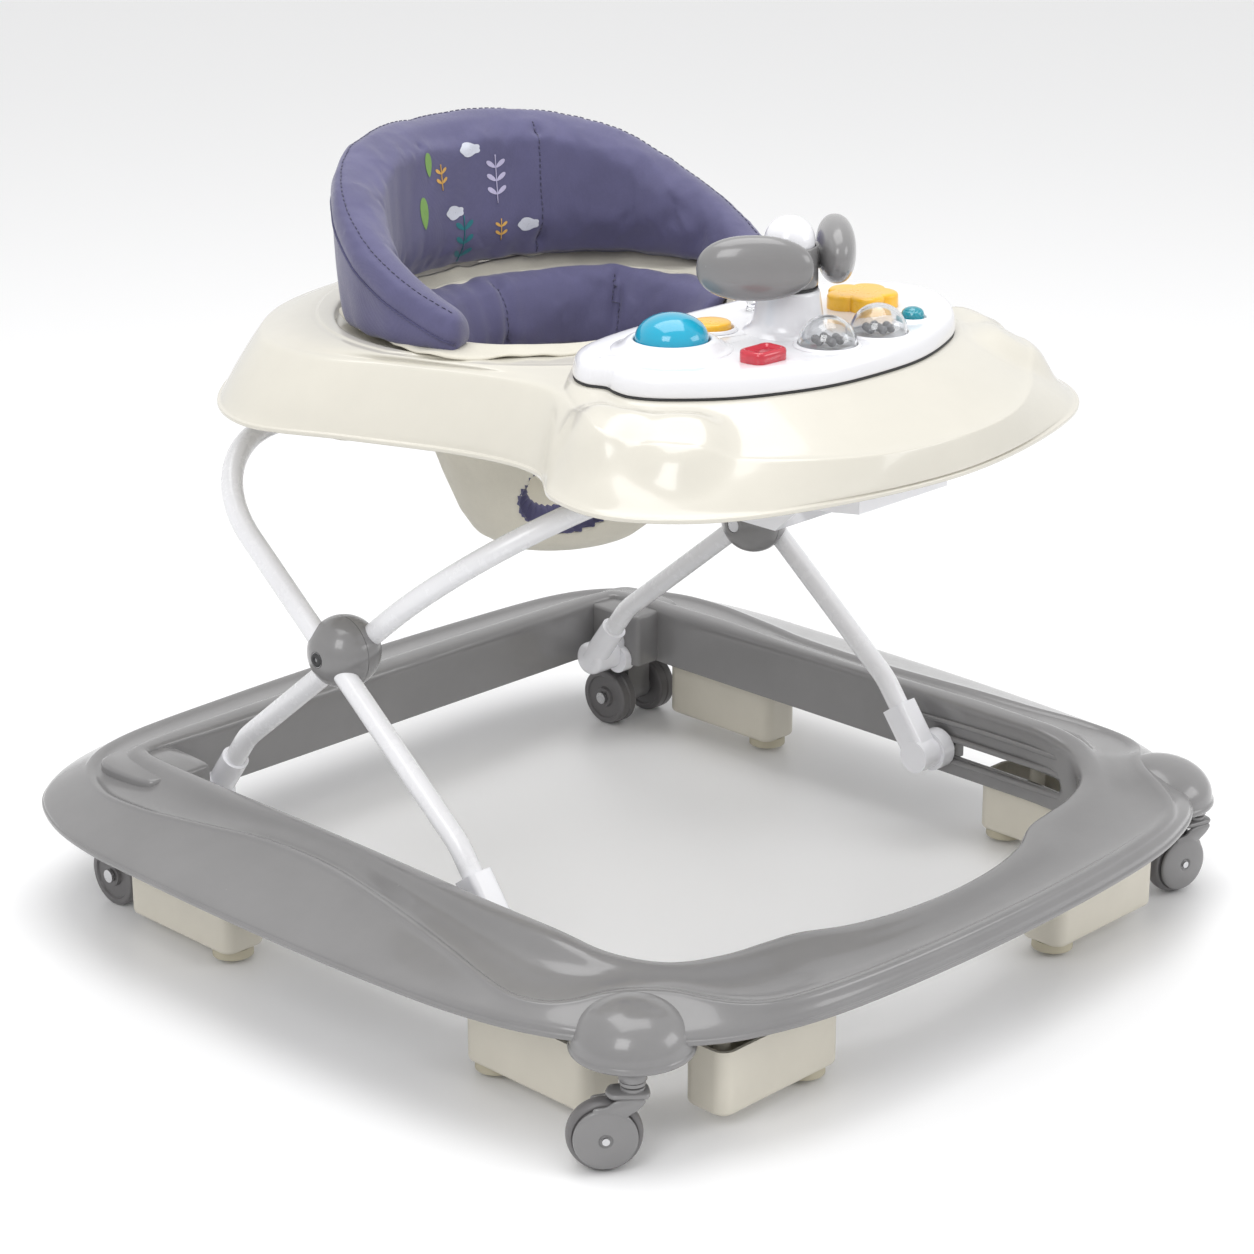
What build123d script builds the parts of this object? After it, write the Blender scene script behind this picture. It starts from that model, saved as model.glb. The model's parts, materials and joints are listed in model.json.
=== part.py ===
from build123d import *

import math
import os

# Baby walker. Millimetres, +Z up. The origin is on the floor under the middle of the base ring.
# -Y is the front, where the toy tray is, and +Y is behind the seat. -X is the child's right.

# ---- driving dimensions ----
GAP = 0.3  # clearance between bodies
FIT = 0.05  # radial clearance of a shaft in its hole

BASE_HALF_WIDTH = 360.0
BASE_HALF_LENGTH = 363.0
BASE_FRONT_HALF_WIDTH = 346.0
RIM_Z = 80.0
SHOULDER_Z = 88.0
CREST_Z = 112.0
SHOULDER_INSET = 58.0
INNER_HALF_WIDTH = 252.0
INNER_FRONT_Y = -268.0
INNER_REAR_Y = 270.0
INNER_FRONT_RADIUS = 60.0
FRONT_BOW = 36.0
FRONT_BOW_HALF_WIDTH = 130.0
REAR_CORNER_RADIUS = 120.0
FRONT_CORNER_RADIUS = 150.0
INNER_REAR_RADIUS = 14.0
SKIRT_Z = 62.0
SLOT_SKIRT_Z = 50.0
WALL = 3.0

STEM_X = 305.0
STEM_Y = -296.0
STEM_RADIUS = 4.0
STEM_TOP_Z = 77.5
SOCKET_RADIUS = 6.5
SOCKET_TOP_Z = 81.5
CASTER_POST_RADIUS = 10.0
DOME_X = 285.0
DOME_Y = -276.0
DOME_RADIUS = 41.6
DOME_RIM_Z = 70.0
DOME_WALL_Z = 74.0
DOME_TOP_Z = 104.0
DOME_BALL_RADIUS = (DOME_RADIUS**2 + (DOME_TOP_Z - DOME_WALL_Z) ** 2) / (2 * (DOME_TOP_Z - DOME_WALL_Z))
CASTER_RADIUS = 25.0
CASTER_TRAIL = 18.0
CASTER_SWIVEL = {"left": 168.0, "right": 140.0}  # degrees from +X to the wheel's trail

AXLE_Y = 262.0
AXLE_RADIUS = 3.0
REAR_WHEEL_RADIUS = 24.0
REAR_WHEEL_WIDTH = 17.5
REAR_WHEEL_X = {"inner": 238.5, "outer": 285.5}
BRACKET_X = 262.0

# scissor legs: equal arms about the hub, so the foot of the outer leg runs level in its slot
PIVOT_Z = 72.0
REAR_PIVOT_Y = 246.0
FRONT_PIVOT_Y = -92.0
HUB_Y = (REAR_PIVOT_Y + FRONT_PIVOT_Y) / 2
HUB_Z = 230.0
ARM = math.hypot(REAR_PIVOT_Y - HUB_Y, HUB_Z - PIVOT_Z)
FOLD_ANGLE = 24.0
KNEE_DY = 130.0
KNEE_Z = 125.0
UPPER_ARM = 196.0
TUBE_RADIUS = 8.0
TUBE_WALL = 1.2
INNER_TUBE_X = 203.0
OUTER_TUBE_X = 228.0
INNER_TOP_RADIUS = 150.0
OUTER_TOP_RADIUS = 88.0
KNEE_RADIUS = 60.0
HUB_X = 215.5
HUB_RADIUS = 26.5
BOLT_RADIUS = 3.0
PIN_RADIUS = 4.0

TUBE_SLOPE = math.atan2(HUB_Z - KNEE_Z, KNEE_DY)
CROSSBAR_DY = UPPER_ARM * math.cos(TUBE_SLOPE)
CROSSBAR_Z = HUB_Z + UPPER_ARM * math.sin(TUBE_SLOPE)
INNER_CROSSBAR_Y = HUB_Y - CROSSBAR_DY
OUTER_CROSSBAR_Y = HUB_Y + CROSSBAR_DY
FOLDED_REACH = UPPER_ARM * math.cos(TUBE_SLOPE - math.radians(FOLD_ANGLE))
ADJUSTER_SLIDE = 2 * (FOLDED_REACH - CROSSBAR_DY)

# the slot lets the outer leg's foot slide forward as the walker folds down
SLIDER_LENGTH = 22.0
SLOT_HEIGHT = 11.4
REST_ANGLE = math.atan2(HUB_Z - PIVOT_Z, REAR_PIVOT_Y - HUB_Y)
FOLDED_FRONT_Y = REAR_PIVOT_Y - 2 * ARM * math.cos(REST_ANGLE - math.radians(FOLD_ANGLE))
SLOT_REAR_Y = FRONT_PIVOT_Y + SLIDER_LENGTH / 2 + 0.6
SLOT_FRONT_Y = FOLDED_FRONT_Y - SLIDER_LENGTH / 2 - 0.6
SLOT_LENGTH = SLOT_REAR_Y - SLOT_FRONT_Y

# tray
TRAY_RIM_Z = 393.0
DECK_Z = 448.0
SEAT_Y = 70.0
OPENING_A = 138.0
OPENING_B = 113.0
PANEL_TOP_Z = 465.0
POST_Y = -146.0
POST_TOP_Z = 494.0

SEAT_BACK_A = 170.0
SEAT_BACK_B = 145.0
SEAT_BACK_THICK = 28.0
SEAT_BACK_TOP_Z = 572.0

SIDES = {"left": 1, "right": -1}
PARTS = {}


def keep(name, shape):
    """Labels one finished piece and remembers it for export."""
    shape.label = name
    PARTS[name] = shape


def side_plane(side, x):
    """A sketch plane square to X: its own x runs along world Y, its own y along world Z.

    Extruding by a positive amount goes away from the middle of the walker.
    """
    if side > 0:
        return Plane(origin=(x, 0, 0), x_dir=(0, 1, 0), z_dir=(1, 0, 0))
    return Plane(origin=(-x, 0, 0), x_dir=(0, 1, 0), z_dir=(1, 0, 0))


# ---- base ring ----
def base_outline(inset):
    """Plan outline of the base, drawn in by inset: bowed sides with rounded corners."""
    front = BASE_FRONT_HALF_WIDTH - inset
    rear = BASE_HALF_WIDTH - 4 - inset
    middle = BASE_HALF_WIDTH - inset
    front_y = -338 + inset
    rear_y = BASE_HALF_LENGTH - 6 - inset
    with BuildSketch(Plane.XY) as outline:
        with BuildLine():
            ThreePointArc((-front, front_y), (0, -BASE_HALF_LENGTH + inset), (front, front_y))
            ThreePointArc((front, front_y), (middle, 40), (rear, rear_y))
            ThreePointArc((rear, rear_y), (0, BASE_HALF_LENGTH - inset), (-rear, rear_y))
            ThreePointArc((-rear, rear_y), (-middle, 40), (-front, front_y))
        make_face()
        fillet(outline.vertices().sort_by(Axis.Y)[-2:], REAR_CORNER_RADIUS - inset)
        fillet(outline.vertices().sort_by(Axis.Y)[:2], FRONT_CORNER_RADIUS - inset)
    return outline.sketch


def inner_outline(grow):
    """Plan outline of the hole in the base ring, drawn out by grow; its front edge bows forward."""
    bow_y = INNER_FRONT_Y - grow
    with BuildSketch(Plane.XY) as outline:
        with Locations((0, (INNER_FRONT_Y + INNER_REAR_Y) / 2)):
            Rectangle(2 * (INNER_HALF_WIDTH + grow), INNER_REAR_Y - INNER_FRONT_Y + 2 * grow)
        fillet(outline.vertices().sort_by(Axis.Y)[-2:], INNER_REAR_RADIUS + grow)
        fillet(outline.vertices().sort_by(Axis.Y)[:2], INNER_FRONT_RADIUS + grow)
        with BuildLine():
            ThreePointArc(
                (-FRONT_BOW_HALF_WIDTH, bow_y + 1), (0, bow_y - FRONT_BOW), (FRONT_BOW_HALF_WIDTH, bow_y + 1)
            )
            Line((FRONT_BOW_HALF_WIDTH, bow_y + 1), (-FRONT_BOW_HALF_WIDTH, bow_y + 1))
        make_face()
    return outline.sketch


def lifted(sketch, height):
    """The sketch, moved up to a height."""
    return Plane.XY.offset(height) * sketch


def box_posts(side, name):
    """Posts of one box: one at the end away from its foot, one between the middle and the foot."""
    x, y, foot_x, foot_y = STOPPERS[name]
    reach = math.hypot(foot_x, foot_y)
    along = Vector(side * foot_x, foot_y) / reach
    return [(side * x + along.X * step, y + along.Y * step) for step in (-40, 15)]


def post_places():
    """Screw posts of the six stopper boxes, as (x, y)."""
    return [place for side in SIDES.values() for name in STOPPERS for place in box_posts(side, name)]


def caster_dome(inset):
    """Ball cap over a short wall, about the origin's vertical axis, that covers a caster's post."""
    with BuildPart() as dome:
        with Locations((0, 0, DOME_TOP_Z - DOME_BALL_RADIUS)):
            Sphere(DOME_BALL_RADIUS - inset)
        with Locations((0, 0, DOME_WALL_Z + 50)):
            Box(200, 200, 100, mode=Mode.INTERSECT)
        with BuildSketch(Plane.XY.offset(DOME_RIM_Z - inset)):
            Circle(DOME_RADIUS - inset)
        extrude(amount=DOME_WALL_Z - DOME_RIM_Z + inset)
    return dome.part


def caster_post(side):
    """Post for a caster's stem, trimmed to the inside of its dome; the origin is the dome's middle."""
    with BuildPart() as post:
        with BuildSketch(Plane.XY.offset(SKIRT_Z)):
            with Locations((side * (STEM_X - DOME_X), STEM_Y - DOME_Y)):
                Circle(CASTER_POST_RADIUS)
        extrude(amount=DOME_TOP_Z - SKIRT_Z)
        with Locations((0, 0, DOME_TOP_Z - DOME_BALL_RADIUS)):
            Sphere(DOME_BALL_RADIUS - WALL / 2, mode=Mode.INTERSECT)
    return post.part


# name: centre x, centre y, foot x offset towards the middle of the rail, foot y offset
STOPPERS = {
    "front": (178.0, -292.0, -41.0, 0.0),
    "side_front": (276.0, -184.0, 0.0, 44.0),
    "side_rear": (289.0, 166.0, 0.0, -41.0),
}
STOPPER_LENGTH = 116.0
STOPPER_WIDTH = 38.0
STOPPER_Z = 11.0
STOPPER_TOP_Z = 58.0
POST_SPLIT_Z = 86.0
# the ring is cut into four lengths, so that collision can follow it
FRONT_SPLIT_Y = -230.0
REAR_SPLIT_Y = 212.0


def base_frame():
    outer_rim = base_outline(0)
    outer_crest = base_outline(SHOULDER_INSET)
    with BuildPart() as frame:
        add(extrude(lifted(outer_rim, RIM_Z), SHOULDER_Z - RIM_Z))
        add(loft([lifted(outer_rim, SHOULDER_Z).face(), lifted(outer_crest, CREST_Z).face()]))
        # hollow underside
        add(
            extrude(lifted(base_outline(WALL), RIM_Z - 1), SHOULDER_Z - RIM_Z + 1),
            mode=Mode.SUBTRACT,
        )
        add(
            loft(
                [
                    lifted(base_outline(WALL), SHOULDER_Z).face(),
                    lifted(base_outline(SHOULDER_INSET), CREST_Z - WALL).face(),
                ]
            ),
            mode=Mode.SUBTRACT,
        )
        # caster domes at the front corners
        for side in SIDES.values():
            add(Pos(side * DOME_X, DOME_Y, 0) * caster_dome(0))
            add(Pos(side * DOME_X, DOME_Y, 0) * caster_dome(WALL), mode=Mode.SUBTRACT)
        # inner wall, deeper where the slots are
        add(extrude(lifted(inner_outline(WALL), SKIRT_Z), CREST_Z - SKIRT_Z - 1))
        for side in SIDES.values():
            with Locations((side * (INNER_HALF_WIDTH + WALL / 2), -148, (SLOT_SKIRT_Z + SKIRT_Z) / 2)):
                Box(WALL, 156, SKIRT_Z - SLOT_SKIRT_Z + 2)
        # rear corner blocks carry the rear pivots and the wheel brackets
        for side in SIDES.values():
            with BuildSketch(Plane.XY.offset(SKIRT_Z)):
                with Locations((side * 265, 256)):
                    RectangleRounded(66, 70, 14)
            extrude(amount=CREST_Z - 8 - SKIRT_Z)
        add(extrude(lifted(inner_outline(0), SLOT_SKIRT_Z - 1), 80), mode=Mode.SUBTRACT)
        for side in SIDES.values():
            # block again, where it stands inside the hole
            with BuildSketch(Plane.XY.offset(SKIRT_Z)):
                with Locations((side * 250, 250)):
                    RectangleRounded(36, 68, 12)
            extrude(amount=CREST_Z - 8 - SKIRT_Z)
            # caster post
            add(Pos(side * DOME_X, DOME_Y, 0) * caster_post(side))
            with BuildSketch(Plane.XY.offset(SKIRT_Z - 1)):
                with Locations((side * STEM_X, STEM_Y)):
                    Circle(SOCKET_RADIUS + 0.02)
            extrude(amount=SOCKET_TOP_Z + 0.5 - SKIRT_Z + 1, mode=Mode.SUBTRACT)
            # slot for the slider, with a raised lip
            with BuildSketch(side_plane(side, INNER_HALF_WIDTH)):
                with Locations(((SLOT_REAR_Y + SLOT_FRONT_Y) / 2, PIVOT_Z)):
                    SlotOverall(SLOT_LENGTH + 12, SLOT_HEIGHT + 12)
            extrude(amount=-side * 3)
            with BuildSketch(side_plane(side, INNER_HALF_WIDTH - 10)):
                with Locations(((SLOT_REAR_Y + SLOT_FRONT_Y) / 2, PIVOT_Z)):
                    SlotOverall(SLOT_LENGTH, SLOT_HEIGHT)
            extrude(amount=side * 16, mode=Mode.SUBTRACT)
            # rear pivot hole
            with BuildSketch(side_plane(side, 225)):
                with Locations((REAR_PIVOT_Y, PIVOT_Z)):
                    Circle(PIN_RADIUS + 0.02)
            extrude(amount=side * 40, mode=Mode.SUBTRACT)
        # posts that meet the stopper boxes
        for x, y in post_places():
            with BuildSketch(Plane.XY.offset(POST_SPLIT_Z)):
                with Locations((x, y)):
                    Circle(6)
            extrude(amount=CREST_Z - WALL + 1 - POST_SPLIT_Z)
    return frame.part


def base_rail(whole, side, low_y, high_y):
    """The stretch of the ring between two values of y, on one side, or on both where side is 0."""
    with BuildPart() as rail:
        add(whole)
        with Locations((side * BASE_HALF_WIDTH, (low_y + high_y) / 2, CREST_Z / 2)):
            Box(BASE_HALF_WIDTH * (2 if side else 4), high_y - low_y, 2 * CREST_Z, mode=Mode.INTERSECT)
    return rail.part


def stopper_box(side, name):
    """Open-topped box with a screw post at each end, under one rail."""
    x, y, _, _ = STOPPERS[name]
    lengthwise = name == "front"
    size_x = STOPPER_LENGTH if lengthwise else STOPPER_WIDTH
    size_y = STOPPER_WIDTH if lengthwise else STOPPER_LENGTH
    with BuildPart() as box:
        with BuildSketch(Plane.XY.offset(STOPPER_Z)):
            with Locations((side * x, y)):
                RectangleRounded(size_x, size_y, 10)
        extrude(amount=STOPPER_TOP_Z - STOPPER_Z)
        fillet(box.faces().sort_by(Axis.Z)[0].edges(), 4)
        with BuildSketch(Plane.XY.offset(STOPPER_Z + 2.5)):
            with Locations((side * x, y)):
                RectangleRounded(size_x - 5, size_y - 5, 7.5)
        extrude(amount=STOPPER_TOP_Z, mode=Mode.SUBTRACT)
        for post in box_posts(side, name):
            with BuildSketch(Plane.XY.offset(STOPPER_Z + 2)):
                with Locations(post):
                    Circle(6)
            extrude(amount=POST_SPLIT_Z - 0.2 - STOPPER_Z - 2)
    return box.part


def stopper_feet(side):
    """Three rubber pads, one under each stopper box."""
    with BuildPart() as feet:
        for x, y, dx, dy in STOPPERS.values():
            with BuildSketch(Plane.XY.offset(4)):
                with Locations((side * (x + dx), y + dy)):
                    Circle(15)
            extrude(amount=STOPPER_Z - 4)
    return feet.part


def rear_wheel_bracket(side):
    with BuildPart() as bracket:
        with BuildSketch(side_plane(side, BRACKET_X - 13)):
            with BuildLine():
                Line((AXLE_Y - 12, SKIRT_Z - 0.2), (AXLE_Y - 11, 24))
                ThreePointArc((AXLE_Y - 11, 24), (AXLE_Y, 13), (AXLE_Y + 11, 24))
                Line((AXLE_Y + 11, 24), (AXLE_Y + 12, SKIRT_Z - 0.2))
                Line((AXLE_Y + 12, SKIRT_Z - 0.2), (AXLE_Y - 12, SKIRT_Z - 0.2))
            make_face()
        extrude(amount=side * 26)
        with BuildSketch(Plane.XY.offset(SKIRT_Z - 4.2)):
            with Locations((side * BRACKET_X, AXLE_Y)):
                RectangleRounded(44, 40, 6)
        extrude(amount=4)
        with BuildSketch(side_plane(side, BRACKET_X - 20)):
            with Locations((AXLE_Y, REAR_WHEEL_RADIUS)):
                Circle(AXLE_RADIUS + 0.02)
        extrude(amount=side * 40, mode=Mode.SUBTRACT)
    return bracket.part


def rear_axles():
    """Two steel axles with a round head at each end."""
    with BuildPart() as axles:
        for side in SIDES.values():
            for start, length, radius in ((228.9, 66.2, AXLE_RADIUS), (226.4, 2.5, 5), (295.1, 2.5, 5)):
                with BuildSketch(side_plane(side, start)):
                    with Locations((AXLE_Y, REAR_WHEEL_RADIUS)):
                        Circle(radius)
                extrude(amount=side * length)
    return axles.part


def rear_wheel(side, place):
    """Wheel with a raised hub and a groove in its tread."""
    half = REAR_WHEEL_WIDTH / 2
    bore = AXLE_RADIUS + FIT
    radius = REAR_WHEEL_RADIUS
    with BuildPart() as wheel:
        with BuildSketch(Plane.XY):
            with BuildLine():
                Polyline(
                    (bore, -half), (8, -half), (9, -half + 2.5), (18, -half + 2), (19, -half + 0.5),
                    (radius - 2, -half + 0.5),
                )
                ThreePointArc(
                    (radius - 2, -half + 0.5), (radius - 0.6, -half + 1.1), (radius, -half + 2.5),
                )
                Polyline(
                    (radius, -half + 2.5), (radius, -1), (radius - 1, 0), (radius, 1), (radius, half - 2.5)
                )
                ThreePointArc((radius, half - 2.5), (radius - 0.6, half - 1.1), (radius - 2, half - 0.5))
                Polyline(
                    (radius - 2, half - 0.5), (19, half - 0.5), (18, half - 2), (9, half - 2.5), (8, half),
                    (bore, half), (bore, -half),
                )
            make_face()
        revolve(axis=Axis.Y)
    middle = Location((side * REAR_WHEEL_X[place], AXLE_Y, radius), (0, 0, 90))
    return middle * wheel.part


def caster_plane(side):
    """Plane at a caster's stem on the floor, its x towards the wheel's trail, its z up."""
    name = "left" if side > 0 else "right"
    angle = math.radians(CASTER_SWIVEL[name])
    return Plane(
        origin=(side * STEM_X, STEM_Y, 0),
        x_dir=(math.cos(angle), math.sin(angle), 0),
        z_dir=(0, 0, 1),
    )


CASTER_WIDTH = 13.0
COVER_RADIUS = 21.5
FORK_INNER = CASTER_WIDTH / 2 + 1
FORK_OUTER = FORK_INNER + 5


def caster_fork():
    """Hood over the wheel: a round cover on each side, a bridge on top and a collar."""
    with BuildPart() as fork:
        for direction in (-1, 1):
            with BuildSketch(Plane.XZ.offset(-direction * FORK_INNER)):
                with Locations((CASTER_TRAIL, CASTER_RADIUS)):
                    Circle(COVER_RADIUS)
                with Locations((5, 40)):
                    Rectangle(26, 31)
            extrude(amount=-direction * (FORK_OUTER - FORK_INNER))
        with Locations((5, 0, 53.4)):
            Box(26, 2 * FORK_OUTER, 4.2)
        with BuildSketch(Plane.XY.offset(55)):
            Circle(8)
        extrude(amount=3)
        with BuildSketch(Plane.XY.offset(50)):
            Circle(STEM_RADIUS + 0.02)
        extrude(amount=10, mode=Mode.SUBTRACT)
        with BuildSketch(Plane.XZ.offset(-20)):
            with Locations((CASTER_TRAIL, CASTER_RADIUS)):
                Circle(2.52)
        extrude(amount=40, mode=Mode.SUBTRACT)
    return fork.part


def caster_pins():
    """Stem that turns in the base and axle that carries the wheel."""
    with BuildPart() as pins:
        with BuildSketch(Plane.XY.offset(51.5)):
            Circle(STEM_RADIUS)
        extrude(amount=STEM_TOP_Z - 51.5)
        with BuildSketch(Plane.XZ.offset(-FORK_OUTER - 0.3)):
            with Locations((CASTER_TRAIL, CASTER_RADIUS)):
                Circle(2.5)
        extrude(amount=2 * FORK_OUTER + 0.6)
    return pins.part


def caster_wheel():
    half = CASTER_WIDTH / 2
    with BuildPart() as wheel:
        with BuildSketch(Plane.XY):
            with BuildLine():
                Polyline((2.55, -half), (CASTER_RADIUS - 4, -half))
                ThreePointArc((CASTER_RADIUS - 4, -half), (CASTER_RADIUS, 0), (CASTER_RADIUS - 4, half))
                Polyline((CASTER_RADIUS - 4, half), (2.55, half), (2.55, -half))
            make_face()
        revolve(axis=Axis.Y)
    return Location((CASTER_TRAIL, 0, CASTER_RADIUS)) * wheel.part


def caster_socket(side):
    with BuildPart() as socket:
        with BuildSketch(Plane.XY.offset(SKIRT_Z - 2.5)):
            with Locations((side * STEM_X, STEM_Y)):
                Circle(SOCKET_RADIUS + 2)
        extrude(amount=2.3)
        with BuildSketch(Plane.XY.offset(SKIRT_Z - 2)):
            with Locations((side * STEM_X, STEM_Y)):
                Circle(SOCKET_RADIUS)
        extrude(amount=SOCKET_TOP_Z - SKIRT_Z + 2)
        with BuildSketch(Plane.XY.offset(SKIRT_Z - 5)):
            with Locations((side * STEM_X, STEM_Y)):
                Circle(STEM_RADIUS + FIT)
        extrude(amount=STEM_TOP_Z + 0.5 - SKIRT_Z + 5, mode=Mode.SUBTRACT)
    return socket.part


def stopper_screws():
    """Twelve identical screw heads under the stopper boxes' posts."""
    with BuildPart() as screws:
        for x, y in post_places():
            with BuildSketch(Plane.XY.offset(STOPPER_Z - 2.2)):
                with Locations((x, y)):
                    Circle(3)
            extrude(amount=2)
    return screws.part


# ---- scissor legs ----
def leg_directions(front):
    """Unit vector from a foot pivot up to the knee, and from the hub up to the crossbar."""
    turn = 1 if front else -1
    knee_y = HUB_Y - turn * KNEE_DY
    foot_y = FRONT_PIVOT_Y if front else REAR_PIVOT_Y
    foot = Vector(0, knee_y - foot_y, KNEE_Z - PIVOT_Z).normalized()
    upper = Vector(0, turn * math.cos(TUBE_SLOPE), math.sin(TUBE_SLOPE))
    return foot, upper


def leg_tube(front, x, top_radius):
    """Bent tube: up one side, over a crossbar and down the other side."""
    foot, _ = leg_directions(front)
    turn = 1 if front else -1
    foot_y = FRONT_PIVOT_Y if front else REAR_PIVOT_Y
    knee_y = HUB_Y - turn * KNEE_DY
    bar_y = HUB_Y + turn * CROSSBAR_DY
    start = Vector(x, foot_y, PIVOT_Z) + foot * 14
    points = [
        start,
        Vector(x, knee_y, KNEE_Z),
        Vector(x, bar_y, CROSSBAR_Z),
        Vector(-x, bar_y, CROSSBAR_Z),
        Vector(-x, knee_y, KNEE_Z),
        Vector(-start.X, start.Y, start.Z),
    ]
    with BuildPart() as tube:
        with BuildLine() as path:
            FilletPolyline(*points, radius=[KNEE_RADIUS, top_radius, top_radius, KNEE_RADIUS])
        with BuildSketch(Plane(origin=start, z_dir=foot)):
            Circle(TUBE_RADIUS)
            Circle(TUBE_RADIUS - TUBE_WALL, mode=Mode.SUBTRACT)
        sweep(path=path.line)
        clearance = FIT if front else 0.02
        for side in SIDES.values():
            with BuildSketch(side_plane(side, x - 10)):
                with Locations((HUB_Y, HUB_Z)):
                    Circle(BOLT_RADIUS + clearance)
            extrude(amount=side * 20, mode=Mode.SUBTRACT)
    return tube.part


def tube_channel(side, front, x, length):
    """Cutting rod along the straight part of a leg at the hub."""
    _, upper = leg_directions(front)
    centre = Vector(side * x, HUB_Y, HUB_Z)
    return Plane(origin=centre - upper * length, z_dir=upper) * Cylinder(
        TUBE_RADIUS + FIT, 2 * length, align=(Align.CENTER, Align.CENTER, Align.MIN), mode=Mode.PRIVATE
    )


def hub_cover(side, outer):
    """Half of the round hub housing, closed over one leg tube."""
    x = OUTER_TUBE_X if outer else INNER_TUBE_X
    clearance = FIT if outer else 0.02
    with BuildPart() as cover:
        with Locations((side * HUB_X, HUB_Y, HUB_Z)):
            Sphere(HUB_RADIUS, rotation=(0, 90, 0))
        # keep one side of the parting plane, and flatten the end
        low, high = (HUB_X + 0.2, 243) if outer else (190.5, HUB_X - 0.2)
        with Locations((side * (low + high) / 2, HUB_Y, HUB_Z)):
            Box(high - low, 80, 80, mode=Mode.INTERSECT)
        add(tube_channel(side, outer, x, 40), mode=Mode.SUBTRACT)
        with BuildSketch(side_plane(side, 180)):
            with Locations((HUB_Y, HUB_Z)):
                Circle(BOLT_RADIUS + clearance)
        extrude(amount=side * 80, mode=Mode.SUBTRACT)
        with BuildSketch(side_plane(side, 238 if outer else 188)):
            with Locations((HUB_Y, HUB_Z)):
                Circle(6)
        extrude(amount=side * (10 if outer else 5.5), mode=Mode.SUBTRACT)
    return cover.part


def hub_bolts():
    with BuildPart() as bolts:
        for side in SIDES.values():
            for start, length, radius in ((190.8, 50.2, BOLT_RADIUS), (238.3, 3.2, 5.5), (190.8, 2.6, 5.5)):
                with BuildSketch(side_plane(side, start)):
                    with Locations((HUB_Y, HUB_Z)):
                        Circle(radius)
                extrude(amount=side * length)
    return bolts.part


def foot_rod(side, front, x, start, length, radius):
    """Rod along the foot end of a leg, from start to start + length above its pivot."""
    foot, _ = leg_directions(front)
    y = FRONT_PIVOT_Y if front else REAR_PIVOT_Y
    origin = Vector(side * x, y, PIVOT_Z) + foot * start
    return Plane(origin=origin, z_dir=foot) * Cylinder(
        radius, length, align=(Align.CENTER, Align.CENTER, Align.MIN), mode=Mode.PRIVATE
    )


def inner_leg_fitting(side):
    """Three-lobed flange with a sleeve for the inner leg's foot."""
    with BuildPart() as fitting:
        with BuildSketch(side_plane(side, 221)):
            with Locations((REAR_PIVOT_Y, PIVOT_Z)):
                with PolarLocations(9, 3, start_angle=90):
                    Circle(12)
                Circle(12)
        extrude(amount=side * 10.2)
        with BuildSketch(side_plane(side, 194)):
            with Locations((REAR_PIVOT_Y, PIVOT_Z)):
                Circle(14)
        extrude(amount=side * 28)
        inner_end = fitting.faces().sort_by(Axis.X)[0 if side > 0 else -1]
        fillet(inner_end.edges(), 5)
        add(foot_rod(side, False, INNER_TUBE_X, 0, 40, 10.5))
        add(foot_rod(side, False, INNER_TUBE_X, 13.7, 40, TUBE_RADIUS + FIT), mode=Mode.SUBTRACT)
        with BuildSketch(side_plane(side, 208)):
            with Locations((REAR_PIVOT_Y, PIVOT_Z)):
                Circle(PIN_RADIUS + FIT)
        extrude(amount=side * 30, mode=Mode.SUBTRACT)
    return fitting.part


def outer_leg_fitting(side):
    """Round flange and a square sleeve for the outer leg's foot."""
    foot, _ = leg_directions(True)
    with BuildPart() as fitting:
        with BuildSketch(side_plane(side, 236)):
            with Locations((FRONT_PIVOT_Y, PIVOT_Z)):
                Circle(16)
        extrude(amount=side * 12.6)
        with BuildSketch(side_plane(side, 217)):
            with Locations((FRONT_PIVOT_Y, PIVOT_Z)):
                Circle(13)
        extrude(amount=side * 20)
        pivot = Vector(side * OUTER_TUBE_X, FRONT_PIVOT_Y, PIVOT_Z)
        with BuildSketch(Plane(origin=pivot, x_dir=(1, 0, 0), z_dir=foot)):
            RectangleRounded(21, 22, 4)
        extrude(amount=42)
        add(foot_rod(side, True, OUTER_TUBE_X, 13.7, 40, TUBE_RADIUS + FIT), mode=Mode.SUBTRACT)
        with BuildSketch(side_plane(side, 231)):
            with Locations((FRONT_PIVOT_Y, PIVOT_Z)):
                Circle(PIN_RADIUS + FIT)
        extrude(amount=side * 30, mode=Mode.SUBTRACT)
    return fitting.part


def leg_pivot_pins():
    """Two rear pins on which the inner leg folds."""
    with BuildPart() as pins:
        for side in SIDES.values():
            with BuildSketch(side_plane(side, 210)):
                with Locations((REAR_PIVOT_Y, PIVOT_Z)):
                    Circle(PIN_RADIUS)
            extrude(amount=side * 50)
    return pins.part


def slider(side):
    """Guide block behind the slot, with a neck through it and a journal for the leg."""
    with BuildPart() as block:
        with Locations((side * 261, FRONT_PIVOT_Y, PIVOT_Z)):
            Box(10.4, 22, 19)
        with BuildSketch(side_plane(side, 249.2)):
            with Locations((FRONT_PIVOT_Y, PIVOT_Z)):
                SlotOverall(SLIDER_LENGTH, SLOT_HEIGHT - 2 * GAP)
        extrude(amount=side * 8)
        with BuildSketch(side_plane(side, 232)):
            with Locations((FRONT_PIVOT_Y, PIVOT_Z)):
                Circle(PIN_RADIUS)
        extrude(amount=side * 20)
    return block.part


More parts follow.
